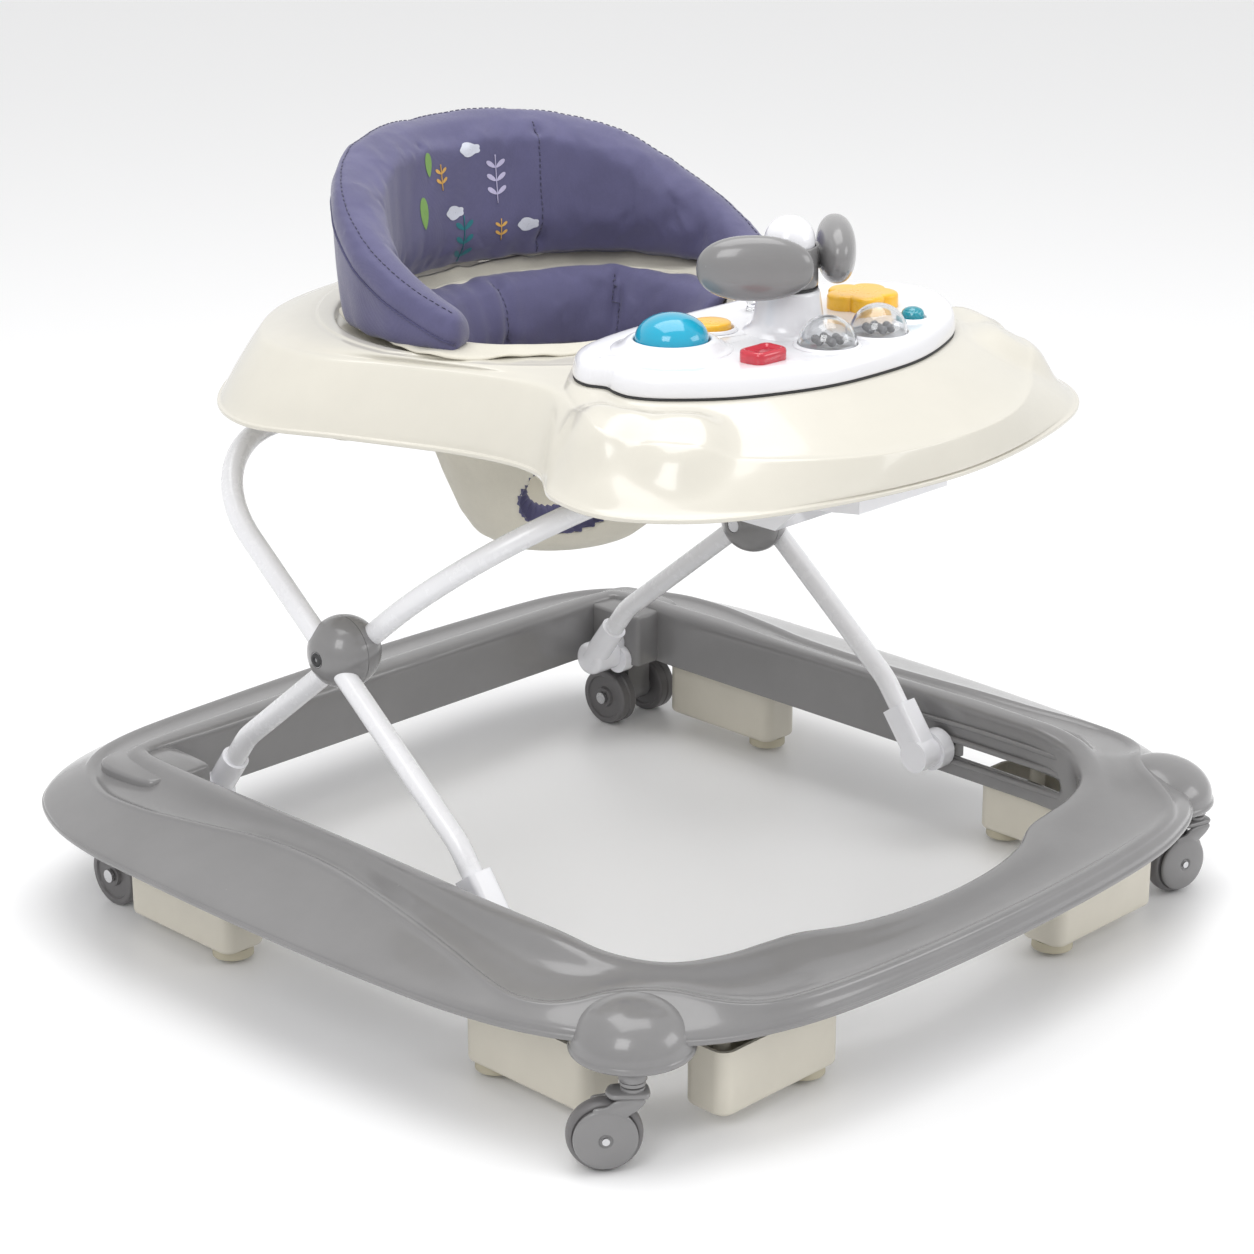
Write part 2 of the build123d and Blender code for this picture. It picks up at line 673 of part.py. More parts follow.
# ---- tray ----
# half outline of the tray's rim, from the middle of the rear to the middle of the front
TRAY_HALF = [
    (0, 292), (125, 268), (222, 200), (257, 128), (230, 52), (199, -35), (196, -98),
    (229, -150), (228, -212), (160, -270), (0, -302),
]


def closed_outline(half):
    """Smooth closed outline through half and its mirror image; half starts and ends on x = 0."""
    other = [(-x, y) for x, y in reversed(half[1:-1])]
    with BuildSketch() as outline:
        with BuildLine():
            Spline(*half, *other, periodic=True)
        make_face()
    return outline.sketch


def tray_outline(across, rear, front):
    """Rim outline scaled across, and along separately behind and before the seat."""
    half = [(x * across, y * (rear if y > 0 else front)) for x, y in TRAY_HALF]
    return closed_outline(half)


def seat_hole(grow):
    with BuildSketch() as hole:
        with Locations((0, SEAT_Y)):
            Ellipse(OPENING_A + grow, OPENING_B + grow)
    return hole.sketch


TRAY_LEVELS = ((TRAY_RIM_Z, 1.0, 1.0, 1.0), (424.0, 0.91, 0.94, 0.93), (DECK_Z, 0.77, 0.86, 0.80))


def tray_body(inset, drop):
    """Solid tray form, drawn in by inset and lowered by drop."""
    shrink = 1 - inset / 250
    sections = [
        lifted(tray_outline(across * shrink, rear * shrink, front * shrink), z - drop).face()
        for z, across, rear, front in TRAY_LEVELS
    ]
    return loft(sections[:2], ruled=True) + loft(sections[1:], ruled=True)


def tray_shell():
    with BuildPart() as shell:
        add(tray_body(0, 0))
        add(tray_body(3.4, 3.2), mode=Mode.SUBTRACT)
        # collar round the seat opening
        add(extrude(lifted(seat_hole(4), DECK_Z - 18), 17))
        add(extrude(lifted(seat_hole(0), DECK_Z - 30), 60), mode=Mode.SUBTRACT)
        # recess the seat back stands in
        with BuildSketch(Plane.XY.offset(DECK_Z - 1.2)):
            with Locations((0, SEAT_Y)):
                Ellipse(SEAT_BACK_A + 3, SEAT_BACK_B + 3)
            with Locations((0, -100)):
                Rectangle(400, 200, mode=Mode.SUBTRACT)
        extrude(amount=5, mode=Mode.SUBTRACT)
        # ribs the two tube clips and the height adjuster hang from
        for x in (-60, 60):
            with Locations((x, OUTER_CROSSBAR_Y, DECK_Z - 7)):
                Box(20, 26, 9)
        # holes for the toy panel's screws
        for x in PANEL_SCREW_X:
            with BuildSketch(Plane.XY.offset(DECK_Z - 6)):
                with Locations((x, PANEL_SCREW_Y)):
                    Circle(2.2)
            extrude(amount=10, mode=Mode.SUBTRACT)
    return shell.part


PANEL_SCREW_X = (-120, 120)
PANEL_SCREW_Y = -150
CLIP_TOP_Z = DECK_Z - 11.6


def rear_tube_clips():
    """Two clips under the tray in which the outer leg's crossbar turns."""
    with BuildPart() as clips:
        for x in (-60, 60):
            with BuildSketch(Plane.YZ.offset(x - 7)):
                with Locations((OUTER_CROSSBAR_Y, CROSSBAR_Z)):
                    Circle(12.5)
                with Locations((OUTER_CROSSBAR_Y, (CROSSBAR_Z + CLIP_TOP_Z) / 2)):
                    Rectangle(20, CLIP_TOP_Z - CROSSBAR_Z)
                with Locations((OUTER_CROSSBAR_Y, CROSSBAR_Z)):
                    Circle(TUBE_RADIUS + FIT, mode=Mode.SUBTRACT)
            extrude(amount=14)
    return clips.part


ADJUSTER_HALF_WIDTH = 46.0
ADJUSTER_REAR_Y = -52.0
ADJUSTER_FRONT_Y = -252.0
ADJUSTER_LOW_Z = 338.0


def height_adjuster():
    """Channel under the front of the tray in which the inner leg's crossbar slides."""
    top = DECK_Z - 6
    with BuildPart() as channel:
        with BuildSketch(Plane.YZ.offset(-ADJUSTER_HALF_WIDTH)):
            with BuildLine():
                Polyline(
                    (ADJUSTER_REAR_Y, ADJUSTER_LOW_Z), (ADJUSTER_REAR_Y, top), (-196, top), (-240, 400),
                    (ADJUSTER_FRONT_Y, 392), (ADJUSTER_FRONT_Y, 366), (-200, 358), (-178, ADJUSTER_LOW_Z),
                    close=True,
                )
            make_face()
        extrude(amount=2 * ADJUSTER_HALF_WIDTH)
        with BuildSketch(Plane.YZ.offset(-ADJUSTER_HALF_WIDTH + 3)):
            with BuildLine():
                Polyline(
                    (ADJUSTER_REAR_Y - 3, ADJUSTER_LOW_Z - 1), (ADJUSTER_REAR_Y - 3, top - 3),
                    (-194, top - 3), (-237, 397), (ADJUSTER_FRONT_Y + 3, 390), (ADJUSTER_FRONT_Y + 3, 369), (-198, 361),
                    (-175, ADJUSTER_LOW_Z - 1), close=True,
                )
            make_face()
        extrude(amount=2 * ADJUSTER_HALF_WIDTH - 6, mode=Mode.SUBTRACT)
        slide = INNER_CROSSBAR_Y - ADJUSTER_SLIDE
        with BuildSketch(Plane.YZ.offset(-ADJUSTER_HALF_WIDTH - 1)):
            with Locations(((INNER_CROSSBAR_Y + slide) / 2, CROSSBAR_Z)):
                SlotOverall(ADJUSTER_SLIDE + 2 * TUBE_RADIUS + 3, 2 * TUBE_RADIUS + 2)
        extrude(amount=2 * ADJUSTER_HALF_WIDTH + 2, mode=Mode.SUBTRACT)
    return channel.part


# ---- toy panel ----
PANEL_HALF = [(0, -226), (80, -214), (140, -184), (170, -138), (160, -96), (112, -66), (0, -58)]
BLUE = (-92.0, -124.0)
SMALL_YELLOW = (-36.0, -108.0)
RED = (-72.0, -188.0)
CLOUD = (88.0, -136.0)
TEAL = (82.0, -188.0)
RATTLES = ((-13.0, -193.0), (36.0, -196.0))
RATTLE_RADIUS = 20.0
RING_TOP_Z = PANEL_TOP_Z + 7
BUTTON_FLOOR_Z = PANEL_TOP_Z - 5
HUB_BORE = 6.0


def panel_outline(inset):
    half = [(x * (1 - inset / 170), -142 + (y + 142) * (1 - inset / 84)) for x, y in PANEL_HALF]
    return closed_outline(half)


def cloud_outline(radius, grow):
    """Cloud with five lobes, as the circles and the core that it is made of."""
    with BuildSketch() as cloud:
        with Locations(CLOUD):
            Circle(radius * 0.72 + grow)
            with PolarLocations(radius * 0.55, 5, start_angle=20):
                Circle(radius * 0.42 + grow)
    return cloud.sketch


def toy_panel():
    """White moulded panel with the steering post, the dome ring and holes for the buttons."""
    bottom = DECK_Z + 0.2
    with BuildPart() as panel:
        add(extrude(lifted(panel_outline(0), bottom), PANEL_TOP_Z - 5 - bottom))
        add(
            loft(
                [
                    lifted(panel_outline(0), PANEL_TOP_Z - 5).face(),
                    lifted(panel_outline(4), PANEL_TOP_Z).face(),
                ]
            )
        )
        # ring round the blue dome
        with BuildSketch(Plane.XY.offset(PANEL_TOP_Z - 4)):
            with Locations(BLUE):
                Circle(40)
        extrude(amount=RING_TOP_Z - PANEL_TOP_Z + 4, taper=25)
        # steering post
        with BuildSketch(Plane.XY.offset(PANEL_TOP_Z - 4)):
            with Locations((0, POST_Y)):
                Circle(24.5)
        extrude(amount=POST_TOP_Z - PANEL_TOP_Z + 4, taper=8)
        # hollow underside
        add(extrude(lifted(panel_outline(3), bottom - 1), PANEL_TOP_Z - bottom - 2), mode=Mode.SUBTRACT)
        with BuildSketch(Plane.XY.offset(bottom - 1)):
            with Locations((0, POST_Y)):
                Circle(16)
        extrude(amount=POST_TOP_Z - bottom - 2, mode=Mode.SUBTRACT)
        with BuildSketch(Plane.XY.offset(POST_TOP_Z - 4)):
            with Locations((0, POST_Y)):
                Circle(HUB_BORE)
        extrude(amount=14)
        for x in PANEL_SCREW_X:
            with BuildSketch(Plane.XY.offset(bottom)):
                with Locations((x, PANEL_SCREW_Y)):
                    Circle(5)
                    Circle(1.9, mode=Mode.SUBTRACT)
            extrude(amount=PANEL_TOP_Z - bottom - 2)
        # button holes
        with BuildSketch(Plane.XY.offset(bottom)):
            with Locations(BLUE):
                Circle(25 + GAP)
            with Locations(SMALL_YELLOW):
                Circle(14 + GAP)
            with Locations(RED):
                RectangleRounded(30 + 2 * GAP, 22 + 2 * GAP, 6)
            with Locations(TEAL):
                Circle(8 + GAP)
        extrude(amount=60, mode=Mode.SUBTRACT)
        add(extrude(lifted(cloud_outline(27, GAP), bottom), 60), mode=Mode.SUBTRACT)
    return panel.part


def round_button(place, radius, top_z, dome):
    """Button with a crowned top, a cap of a ball."""
    x, y = place
    ball = (radius**2 + dome**2) / (2 * dome)
    with BuildPart() as button:
        with BuildSketch(Plane.XZ.offset(-y)):
            with BuildLine():
                Line((x, BUTTON_FLOOR_Z), (x + radius, BUTTON_FLOOR_Z))
                Line((x + radius, BUTTON_FLOOR_Z), (x + radius, top_z))
                ThreePointArc(
                    (x + radius, top_z),
                    (x + radius / 2, top_z + dome - ball + math.sqrt(ball**2 - radius**2 / 4)),
                    (x, top_z + dome),
                )
                Line((x, top_z + dome), (x, BUTTON_FLOOR_Z))
            make_face()
        revolve(axis=Axis((x, y, 0), (0, 0, 1)))
    return button.part


def red_button():
    with BuildPart() as button:
        with BuildSketch(Plane.XY.offset(BUTTON_FLOOR_Z)):
            with Locations(RED):
                RectangleRounded(30, 22, 6)
        extrude(amount=13)
        fillet(button.faces().sort_by(Axis.Z)[-1].edges(), 3)
    return button.part


def cloud_button():
    with BuildPart() as button:
        add(extrude(lifted(cloud_outline(27, 0), BUTTON_FLOOR_Z), 15))
    return button.part


GRIP_REACH = 41.0
GRIP_Z = 515.0
YOKE_TOP_Z = 524.0
BALL_RADIUS = 17.5
BALL_Z = 526.0


def steering_yoke():
    """Cup on the post with two swept-back paddle grips."""
    with BuildPart() as yoke:
        with BuildSketch(Plane.XY.offset(POST_TOP_Z + 1)):
            with Locations((0, POST_Y)):
                Circle(20)
        extrude(amount=YOKE_TOP_Z - POST_TOP_Z - 1)
        for side in SIDES.values():
            centre = Vector(side * GRIP_REACH, POST_Y - 6, GRIP_Z)
            along = Vector(side, 1, 0).normalized()
            across = Vector(side, -1, 0).normalized()
            plane = Plane(origin=centre - across * 13, x_dir=along, z_dir=across)
            with BuildPart(mode=Mode.PRIVATE) as grip:
                with BuildSketch(plane):
                    RectangleRounded(78, 43, 20)
                extrude(amount=26)
                fillet(grip.edges(), 11)
            add(grip.part)
            neck_start = Vector(side * 12, POST_Y - 2, GRIP_Z - 4)
            neck = (centre - neck_start).normalized()
            add(
                Plane(origin=neck_start, z_dir=neck)
                * Cylinder(7, 24, align=(Align.CENTER, Align.CENTER, Align.MIN), mode=Mode.PRIVATE)
            )
        with BuildSketch(Plane.XY.offset(BALL_Z - BALL_RADIUS - 4)):
            with Locations((0, POST_Y)):
                Circle(BALL_RADIUS + GAP)
        extrude(amount=40, mode=Mode.SUBTRACT)
        with BuildSketch(Plane.XY.offset(POST_TOP_Z)):
            with Locations((0, POST_Y)):
                Circle(HUB_BORE + FIT)
        extrude(amount=20, mode=Mode.SUBTRACT)
    return yoke.part


def ball_button():
    with BuildPart() as ball:
        with Locations((0, POST_Y, BALL_Z)):
            Sphere(BALL_RADIUS)
    return ball.part


def rattle_domes():
    with BuildPart() as domes:
        for x, y in RATTLES:
            with Locations((x, y, PANEL_TOP_Z + 0.2)):
                Sphere(RATTLE_RADIUS)
                Sphere(RATTLE_RADIUS - 1.6, mode=Mode.SUBTRACT)
        with Locations((0, -190, PANEL_TOP_Z + 0.2 - 30)):
            Box(200, 100, 60, mode=Mode.SUBTRACT)
    return domes.part


def rattle_beads():
    with BuildPart() as beads:
        for x, y in RATTLES:
            with Locations((x, y, PANEL_TOP_Z + 3.4)):
                Sphere(3)
                with PolarLocations(8.5, 6):
                    Sphere(3)
    return beads.part


def panel_screws():
    with BuildPart() as screws:
        for x in PANEL_SCREW_X:
            with BuildSketch(Plane.XY.offset(DECK_Z - 6.2)):
                with Locations((x, PANEL_SCREW_Y)):
                    Circle(4)
            extrude(amount=2.4)
            with BuildSketch(Plane.XY.offset(DECK_Z - 4)):
                with Locations((x, PANEL_SCREW_Y)):
                    Circle(1.85)
            extrude(amount=15)
    return screws.part


def music_box():
    with BuildPart() as box:
        with BuildSketch(Plane.XY.offset(DECK_Z + 0.4)):
            with Locations((38, -94)):
                RectangleRounded(44, 28, 4)
        extrude(amount=10)
    return box.part


# ---- seat ----
def ellipse_loft(levels, grow):
    """Loft through ellipses about the seat's middle, each given as (height, a, b)."""
    faces = []
    for z, a, b in levels:
        with BuildSketch() as section:
            with Locations((0, SEAT_Y)):
                Ellipse(a + grow, b + grow)
        faces.append(lifted(section.sketch, z).face())
    return loft(faces, ruled=True)


def seat_back():
    """C-shaped padded back, high behind and lower at the arms."""
    low = DECK_Z - 0.9
    levels = ((low, SEAT_BACK_A, SEAT_BACK_B), (600, SEAT_BACK_A + 9, SEAT_BACK_B + 9))
    with BuildPart() as back:
        add(ellipse_loft(levels, 0))
        add(ellipse_loft(((low - 5, SEAT_BACK_A, SEAT_BACK_B), (610, SEAT_BACK_A + 9, SEAT_BACK_B + 9)),
                         -SEAT_BACK_THICK), mode=Mode.SUBTRACT)
        with BuildSketch(Plane.YZ.offset(-220)):
            with BuildLine():
                Polyline((14, low), (14, 476), (96, 514))
                ThreePointArc((96, 514), (150, 545), (224, SEAT_BACK_TOP_Z))
                Polyline((224, SEAT_BACK_TOP_Z), (250, SEAT_BACK_TOP_Z), (250, low), (14, low))
            make_face()
        extrude(amount=440, mode=Mode.INTERSECT)
    return back.part


def seat_pad():
    """Padded lining inside the seat opening."""
    levels = ((388, 117, 92), (444, 128, 103))
    with BuildPart() as pad:
        add(ellipse_loft(levels, 0))
        add(ellipse_loft(((380, 117, 92), (450, 128, 103)), -16), mode=Mode.SUBTRACT)
        with Locations((0, 14 + 200, 420)):
            Box(400, 400, 200, mode=Mode.INTERSECT)
    return pad.part


LEG_HOLE_X = 52.0
LEG_HOLE_Z = 330.0
SLING_LEVELS = ((272, 62, 50), (300, 92, 72), (360, 116, 90), (446, OPENING_A - 1, OPENING_B - 1))


def seat_sling():
    """Fabric tub under the opening, with two leg holes at the front."""
    with BuildPart() as sling:
        add(ellipse_loft(SLING_LEVELS, 0))
        inner = ((276, 62, 50), (300, 91, 71), (360, 116, 90), (448, OPENING_A - 1, OPENING_B - 1))
        add(ellipse_loft(inner, -4), mode=Mode.SUBTRACT)
        for side in SIDES.values():
            middle = (side * LEG_HOLE_X, SEAT_Y - 20, LEG_HOLE_Z)
            plane = Plane(origin=middle, x_dir=(1, 0, 0), z_dir=(side * 0.3, -1, -0.25))
            with BuildSketch(plane):
                Ellipse(34, 40)
            extrude(amount=140, mode=Mode.SUBTRACT)
    return sling.part


# ---- all pieces ----
ring = base_frame()
keep("base_front", base_rail(ring, 0, -400, FRONT_SPLIT_Y))
keep("base_rear", base_rail(ring, 0, REAR_SPLIT_Y, 400))
keep("stopper_screws", stopper_screws())
keep("rear_axles", rear_axles())
keep("leg_pivot_pins", leg_pivot_pins())
keep("hub_bolts", hub_bolts())
for word, sign in SIDES.items():
    keep(f"base_side_{word}", base_rail(ring, sign, FRONT_SPLIT_Y, REAR_SPLIT_Y))
    for place in STOPPERS:
        keep(f"stopper_box_{place}_{word}", stopper_box(sign, place))
    keep(f"stopper_feet_{word}", stopper_feet(sign))
    keep(f"rear_wheel_bracket_{word}", rear_wheel_bracket(sign))
    for place in REAR_WHEEL_X:
        keep(f"rear_wheel_{place}_{word}", rear_wheel(sign, place))
    keep(f"caster_socket_{word}", caster_socket(sign))
    keep(f"caster_fork_{word}", caster_plane(sign) * caster_fork())
    keep(f"caster_pins_{word}", caster_plane(sign) * caster_pins())
    keep(f"caster_wheel_{word}", caster_plane(sign) * caster_wheel())
    keep(f"hub_inner_cover_{word}", hub_cover(sign, False))
    keep(f"hub_outer_cover_{word}", hub_cover(sign, True))
    keep(f"inner_leg_fitting_{word}", inner_leg_fitting(sign))
    keep(f"outer_leg_fitting_{word}", outer_leg_fitting(sign))
    keep(f"slider_{word}", slider(sign))
keep("inner_leg_tube", leg_tube(False, INNER_TUBE_X, INNER_TOP_RADIUS))
keep("outer_leg_tube", leg_tube(True, OUTER_TUBE_X, OUTER_TOP_RADIUS))
keep("tray_shell", tray_shell())
keep("rear_tube_clips", rear_tube_clips())
keep("height_adjuster", height_adjuster())
keep("toy_panel", toy_panel())
keep("panel_screws", panel_screws())
keep("music_box", music_box())
keep("rattle_domes", rattle_domes())
keep("rattle_beads", rattle_beads())
keep("blue_dome_button", round_button(BLUE, 25, RING_TOP_Z, 17))
keep("small_yellow_button", round_button(SMALL_YELLOW, 14, PANEL_TOP_Z + 4, 2))
keep("teal_button", round_button(TEAL, 8, PANEL_TOP_Z + 4, 4))
keep("red_button", red_button())
keep("cloud_button", cloud_button())
keep("steering_yoke", steering_yoke())
keep("ball_button", ball_button())
keep("seat_back", seat_back())
keep("seat_pad", seat_pad())
keep("seat_sling", seat_sling())

os.makedirs("parts", exist_ok=True)
for name, shape in PARTS.items():
    export_step(shape, f"parts/{name}.step")
print(len(PARTS), "nodes")
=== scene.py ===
import json
import math

import bmesh
import bpy
import numpy as np
from mathutils import Matrix, Vector
from mathutils.bvhtree import BVHTree


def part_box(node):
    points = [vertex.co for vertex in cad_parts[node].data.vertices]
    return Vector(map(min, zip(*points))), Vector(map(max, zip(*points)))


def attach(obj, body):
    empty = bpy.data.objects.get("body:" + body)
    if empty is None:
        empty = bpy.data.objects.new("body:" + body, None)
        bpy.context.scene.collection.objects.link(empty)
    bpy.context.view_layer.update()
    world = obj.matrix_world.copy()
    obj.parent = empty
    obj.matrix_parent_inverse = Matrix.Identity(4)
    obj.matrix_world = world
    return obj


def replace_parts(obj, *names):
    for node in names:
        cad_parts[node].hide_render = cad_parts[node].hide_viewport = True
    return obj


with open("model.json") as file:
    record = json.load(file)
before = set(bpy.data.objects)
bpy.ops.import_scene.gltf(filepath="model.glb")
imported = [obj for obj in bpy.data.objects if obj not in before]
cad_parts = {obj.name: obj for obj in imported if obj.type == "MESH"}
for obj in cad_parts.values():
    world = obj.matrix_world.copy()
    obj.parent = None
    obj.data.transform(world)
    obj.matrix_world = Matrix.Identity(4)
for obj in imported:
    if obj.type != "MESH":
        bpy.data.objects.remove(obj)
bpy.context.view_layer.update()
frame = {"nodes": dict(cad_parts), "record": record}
MM = 0.001
SIDES = {"left": 1, "right": -1}
TAU = 2 * math.pi


# ---------------------------------------------------------------- curves and numbers
def smooth(low, high, value):
    """0 below low, 1 above high, and a soft step between."""
    t = np.clip((np.asarray(value, float) - low) / (high - low), 0, 1)
    return t * t * (3 - 2 * t)


def spaced(points, count, closed=True):
    """The polyline's points moved to count equal steps along it."""
    line = np.asarray(points, float)
    if closed:
        line = np.vstack([line, line[:1]])
    steps = np.r_[0, np.cumsum(np.linalg.norm(np.diff(line, axis=0), axis=1))]
    want = np.linspace(0, steps[-1], count + 1 if closed else count)
    out = np.stack([np.interp(want, steps, line[:, k]) for k in range(line.shape[1])], 1)
    return out[:-1] if closed else out


def curve(points, closed=True, per=12):
    """Smooth curve through the points."""
    pts = np.asarray(points, float)
    n = len(pts)
    out = []
    for i in range(n if closed else n - 1):
        if closed:
            a, b, c, d = (pts[(i + k) % n] for k in (-1, 0, 1, 2))
        else:
            a, b, c, d = (pts[min(max(i + k, 0), n - 1)] for k in (-1, 0, 1, 2))
        for t in np.arange(per) / per:
            out.append(
                0.5 * (2 * b + (c - a) * t + (2 * a - 5 * b + 4 * c - d) * t * t
                       + (3 * b - a - 3 * c + d) * t ** 3)
            )
    if not closed:
        out.append(pts[-1])
    return np.array(out)


def mirrored(half):
    """Closed outline from its right half, which starts and ends on x = 0."""
    return list(half) + [(-p[0], *p[1:]) for p in reversed(half[1:-1])]


def radii(outline, centre, angles):
    """Distance from centre to a closed outline, and the outline's other columns, at each angle."""
    line = np.asarray(outline, float)
    off = line[:, :2] - np.asarray(centre)
    turn = np.unwrap(np.arctan2(off[:, 1], off[:, 0]))
    if turn[-1] < turn[0]:
        turn, line, off = turn[::-1], line[::-1], off[::-1]
    size = np.linalg.norm(off, axis=1)
    order = np.argsort(np.mod(turn, TAU))
    base = np.mod(turn, TAU)[order]
    table = np.column_stack([size, line[:, 2:]])[order]
    base = np.r_[base[-1] - TAU, base, base[0] + TAU]
    table = np.vstack([table[-1:], table, table[:1]])
    where = np.mod(angles, TAU)
    return np.stack([np.interp(where, base, table[:, k]) for k in range(table.shape[1])], 1)


def softened(line, rounds=2, closed=True):
    """Corners cut off, again and again, along axis 0."""
    line = np.asarray(line, float)
    for _ in range(rounds):
        following = np.roll(line, -1, 0) if closed else line[1:]
        start = line if closed else line[:-1]
        cut = np.stack([0.75 * start + 0.25 * following, 0.25 * start + 0.75 * following], 1)
        cut = cut.reshape(-1, *line.shape[1:])
        line = cut if closed else np.concatenate([line[:1], cut, line[-1:]])
    return line


# ---------------------------------------------------------------- meshes
def piece(name, verts, faces, material, body, slot, shade=True):
    """New object in millimetres, riding on a body."""
    mesh = bpy.data.meshes.new(name)
    mesh.from_pydata([tuple(float(c) * MM for c in v) for v in verts], [], [tuple(f) for f in faces])
    mesh.materials.append(material)
    bm = bmesh.new()
    bm.from_mesh(mesh)
    bmesh.ops.remove_doubles(bm, verts=bm.verts, dist=1e-6)
    bmesh.ops.recalc_face_normals(bm, faces=bm.faces)
    bm.to_mesh(mesh)
    bm.free()
    obj = bpy.data.objects.new(name, mesh)
    bpy.context.scene.collection.objects.link(obj)
    mesh.polygons.foreach_set("use_smooth", [shade] * len(mesh.polygons))
    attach(obj, body)
    return obj


def skin(rows, around=True, along=False, caps=False):
    """Vertices and faces of a grid of points rows[i][j]; around closes j, along closes i."""
    grid = np.asarray(rows, float)
    m, n = grid.shape[:2]
    verts = grid.reshape(-1, 3)
    faces = []
    for i in range(m if along else m - 1):
        for j in range(n if around else n - 1):
            a, b = i * n + j, i * n + (j + 1) % n
            c, d = ((i + 1) % m) * n + (j + 1) % n, ((i + 1) % m) * n + j
            faces.append((a, b, c, d))
    if caps:
        faces.append(tuple(range(n - 1, -1, -1)))
        faces.append(tuple((m - 1) * n + j for j in range(n)))
    return verts, faces


def joined(*lots):
    """Several (verts, faces) as one."""
    verts, faces, base = [], [], 0
    for v, f in lots:
        verts.append(np.asarray(v, float))
        faces += [tuple(base + k for k in face) for face in f]
        base += len(v)
    return np.vstack(verts), faces


def turned(profile, count=64, centre=(0, 0, 0), axis="Z"):
    """Surface turned from (radius, height) points; a radius of 0 closes it."""
    rows = []
    for r, h in profile:
        ring = [(max(r, 1e-4) * math.cos(a), max(r, 1e-4) * math.sin(a), h)
                for a in np.arange(count) / count * TAU]
        rows.append(ring)
    grid = np.array(rows)
    if axis == "X":
        grid = grid[:, :, [2, 0, 1]]
    return skin(grid + np.array(centre), around=True, caps=True)


def tube(path, radius, sides=12, closed=False, squash=1.0):
    """Round tube along a path of points."""
    line = np.asarray(path, float)
    n = len(line)
    ahead = np.roll(line, -1, 0) - np.roll(line, 1, 0) if closed else np.gradient(line, axis=0)
    ahead /= np.linalg.norm(ahead, axis=1)[:, None] + 1e-12
    up = np.array([0.0, 0.0, 1.0])
    rows = []
    size = np.broadcast_to(radius, (n,))
    for p, t, r in zip(line, ahead, size):
        ref = up if abs(t[2]) < 0.95 else np.array([1.0, 0, 0])
        u = np.cross(t, ref)
        u /= np.linalg.norm(u)
        v = np.cross(u, t)
        a = np.arange(sides) / sides * TAU
        rows.append(p + r * (np.cos(a)[:, None] * u + squash * np.sin(a)[:, None] * v))
    return skin(rows, around=True, along=closed, caps=not closed)


def plate(outline, low, high, bevel=1.5):
    """Flat plate with rounded rims, from a plan outline."""
    line = np.asarray(outline, float)[:, :2]
    centre = line.mean(0)
    rows = []
    steps = [(1, 0), (0.3, 0.3), (0, 1)]
    reach = np.linalg.norm(line - centre, axis=1).mean()
    for inset, drop in steps:
        rows.append(np.column_stack([centre + (line - centre) * (1 - inset * bevel / reach),
                                     np.full(len(line), low + drop * bevel)]))
    for inset, drop in reversed(steps):
        rows.append(np.column_stack([centre + (line - centre) * (1 - inset * bevel / reach),
                                     np.full(len(line), high - drop * bevel)]))
    return skin(rows, around=True, caps=True)


def blob(centre, half, rotation, power=2.5, taper=0.0, rows=24, cols=40):
    """Rounded block: a superellipsoid with half sizes, narrower at one end by taper."""
    grid = []
    for lat in np.linspace(-math.pi / 2, math.pi / 2, rows + 1):
        ring = []
        for lon in np.arange(cols) / cols * TAU:
            c = np.array([math.sin(lat), math.cos(lat) * math.cos(lon), math.cos(lat) * math.sin(lon)])
            c = np.sign(c) * np.abs(c) ** (2 / power)
            c = c / (np.abs(c) ** power).sum() ** (1 / power) if np.abs(c).sum() else c
            scale = 1 - taper * (c[0] + 1) / 2
            ring.append((c[0] * half[0], c[1] * half[1] * scale, c[2] * half[2] * scale))
        grid.append(ring)
    grid = np.array(grid) @ np.array(rotation).T + np.array(centre)
    return skin(grid, around=True, caps=True)


def applied(obj, kind, **settings):
    """Adds a modifier with these settings and applies it."""
    mod = obj.modifiers.new(kind.lower(), kind)
    for name, value in settings.items():
        setattr(mod, name, value)
    with bpy.context.temp_override(object=obj, active_object=obj, selected_objects=[obj]):
        bpy.ops.object.modifier_apply(modifier=mod.name)
    obj.data.polygons.foreach_set("use_smooth", [True] * len(obj.data.polygons))
    return obj


CLOTH_THICKNESS = 0.0012


def thickened(obj):
    """Gives one layer of cloth its thickness."""
    obj.modifiers.new("thickness", "SOLIDIFY").thickness = CLOTH_THICKNESS
    return obj


# ---------------------------------------------------------------- materials
def material(name):
    """New material, with its node tree, its shader and the object coordinates."""
    mat = bpy.data.materials.new(name)
    mat.use_nodes = True
    tree = mat.node_tree
    shader = tree.nodes["Principled BSDF"]
    place = tree.nodes.new("ShaderNodeTexCoord").outputs["Object"]
    return mat, tree, shader, place


def noise(tree, place, scale, detail=2.0, rough=0.5):
    """Noise texture, from 0 to 1."""
    node = tree.nodes.new("ShaderNodeTexNoise")
    tree.links.new(place, node.inputs["Vector"])
    node.inputs["Scale"].default_value = scale
    node.inputs["Detail"].default_value = detail
    node.inputs["Roughness"].default_value = rough
    return node.outputs["Fac"]


def ramp(tree, value, low, high, start=0.3, end=0.7):
    """Colour between low and high by value."""
    node = tree.nodes.new("ShaderNodeValToRGB")
    tree.links.new(value, node.inputs["Fac"])
    node.color_ramp.elements[0].position = start
    node.color_ramp.elements[1].position = end
    node.color_ramp.elements[0].color = (*low, 1)
    node.color_ramp.elements[1].color = (*high, 1)
    return node.outputs["Color"]


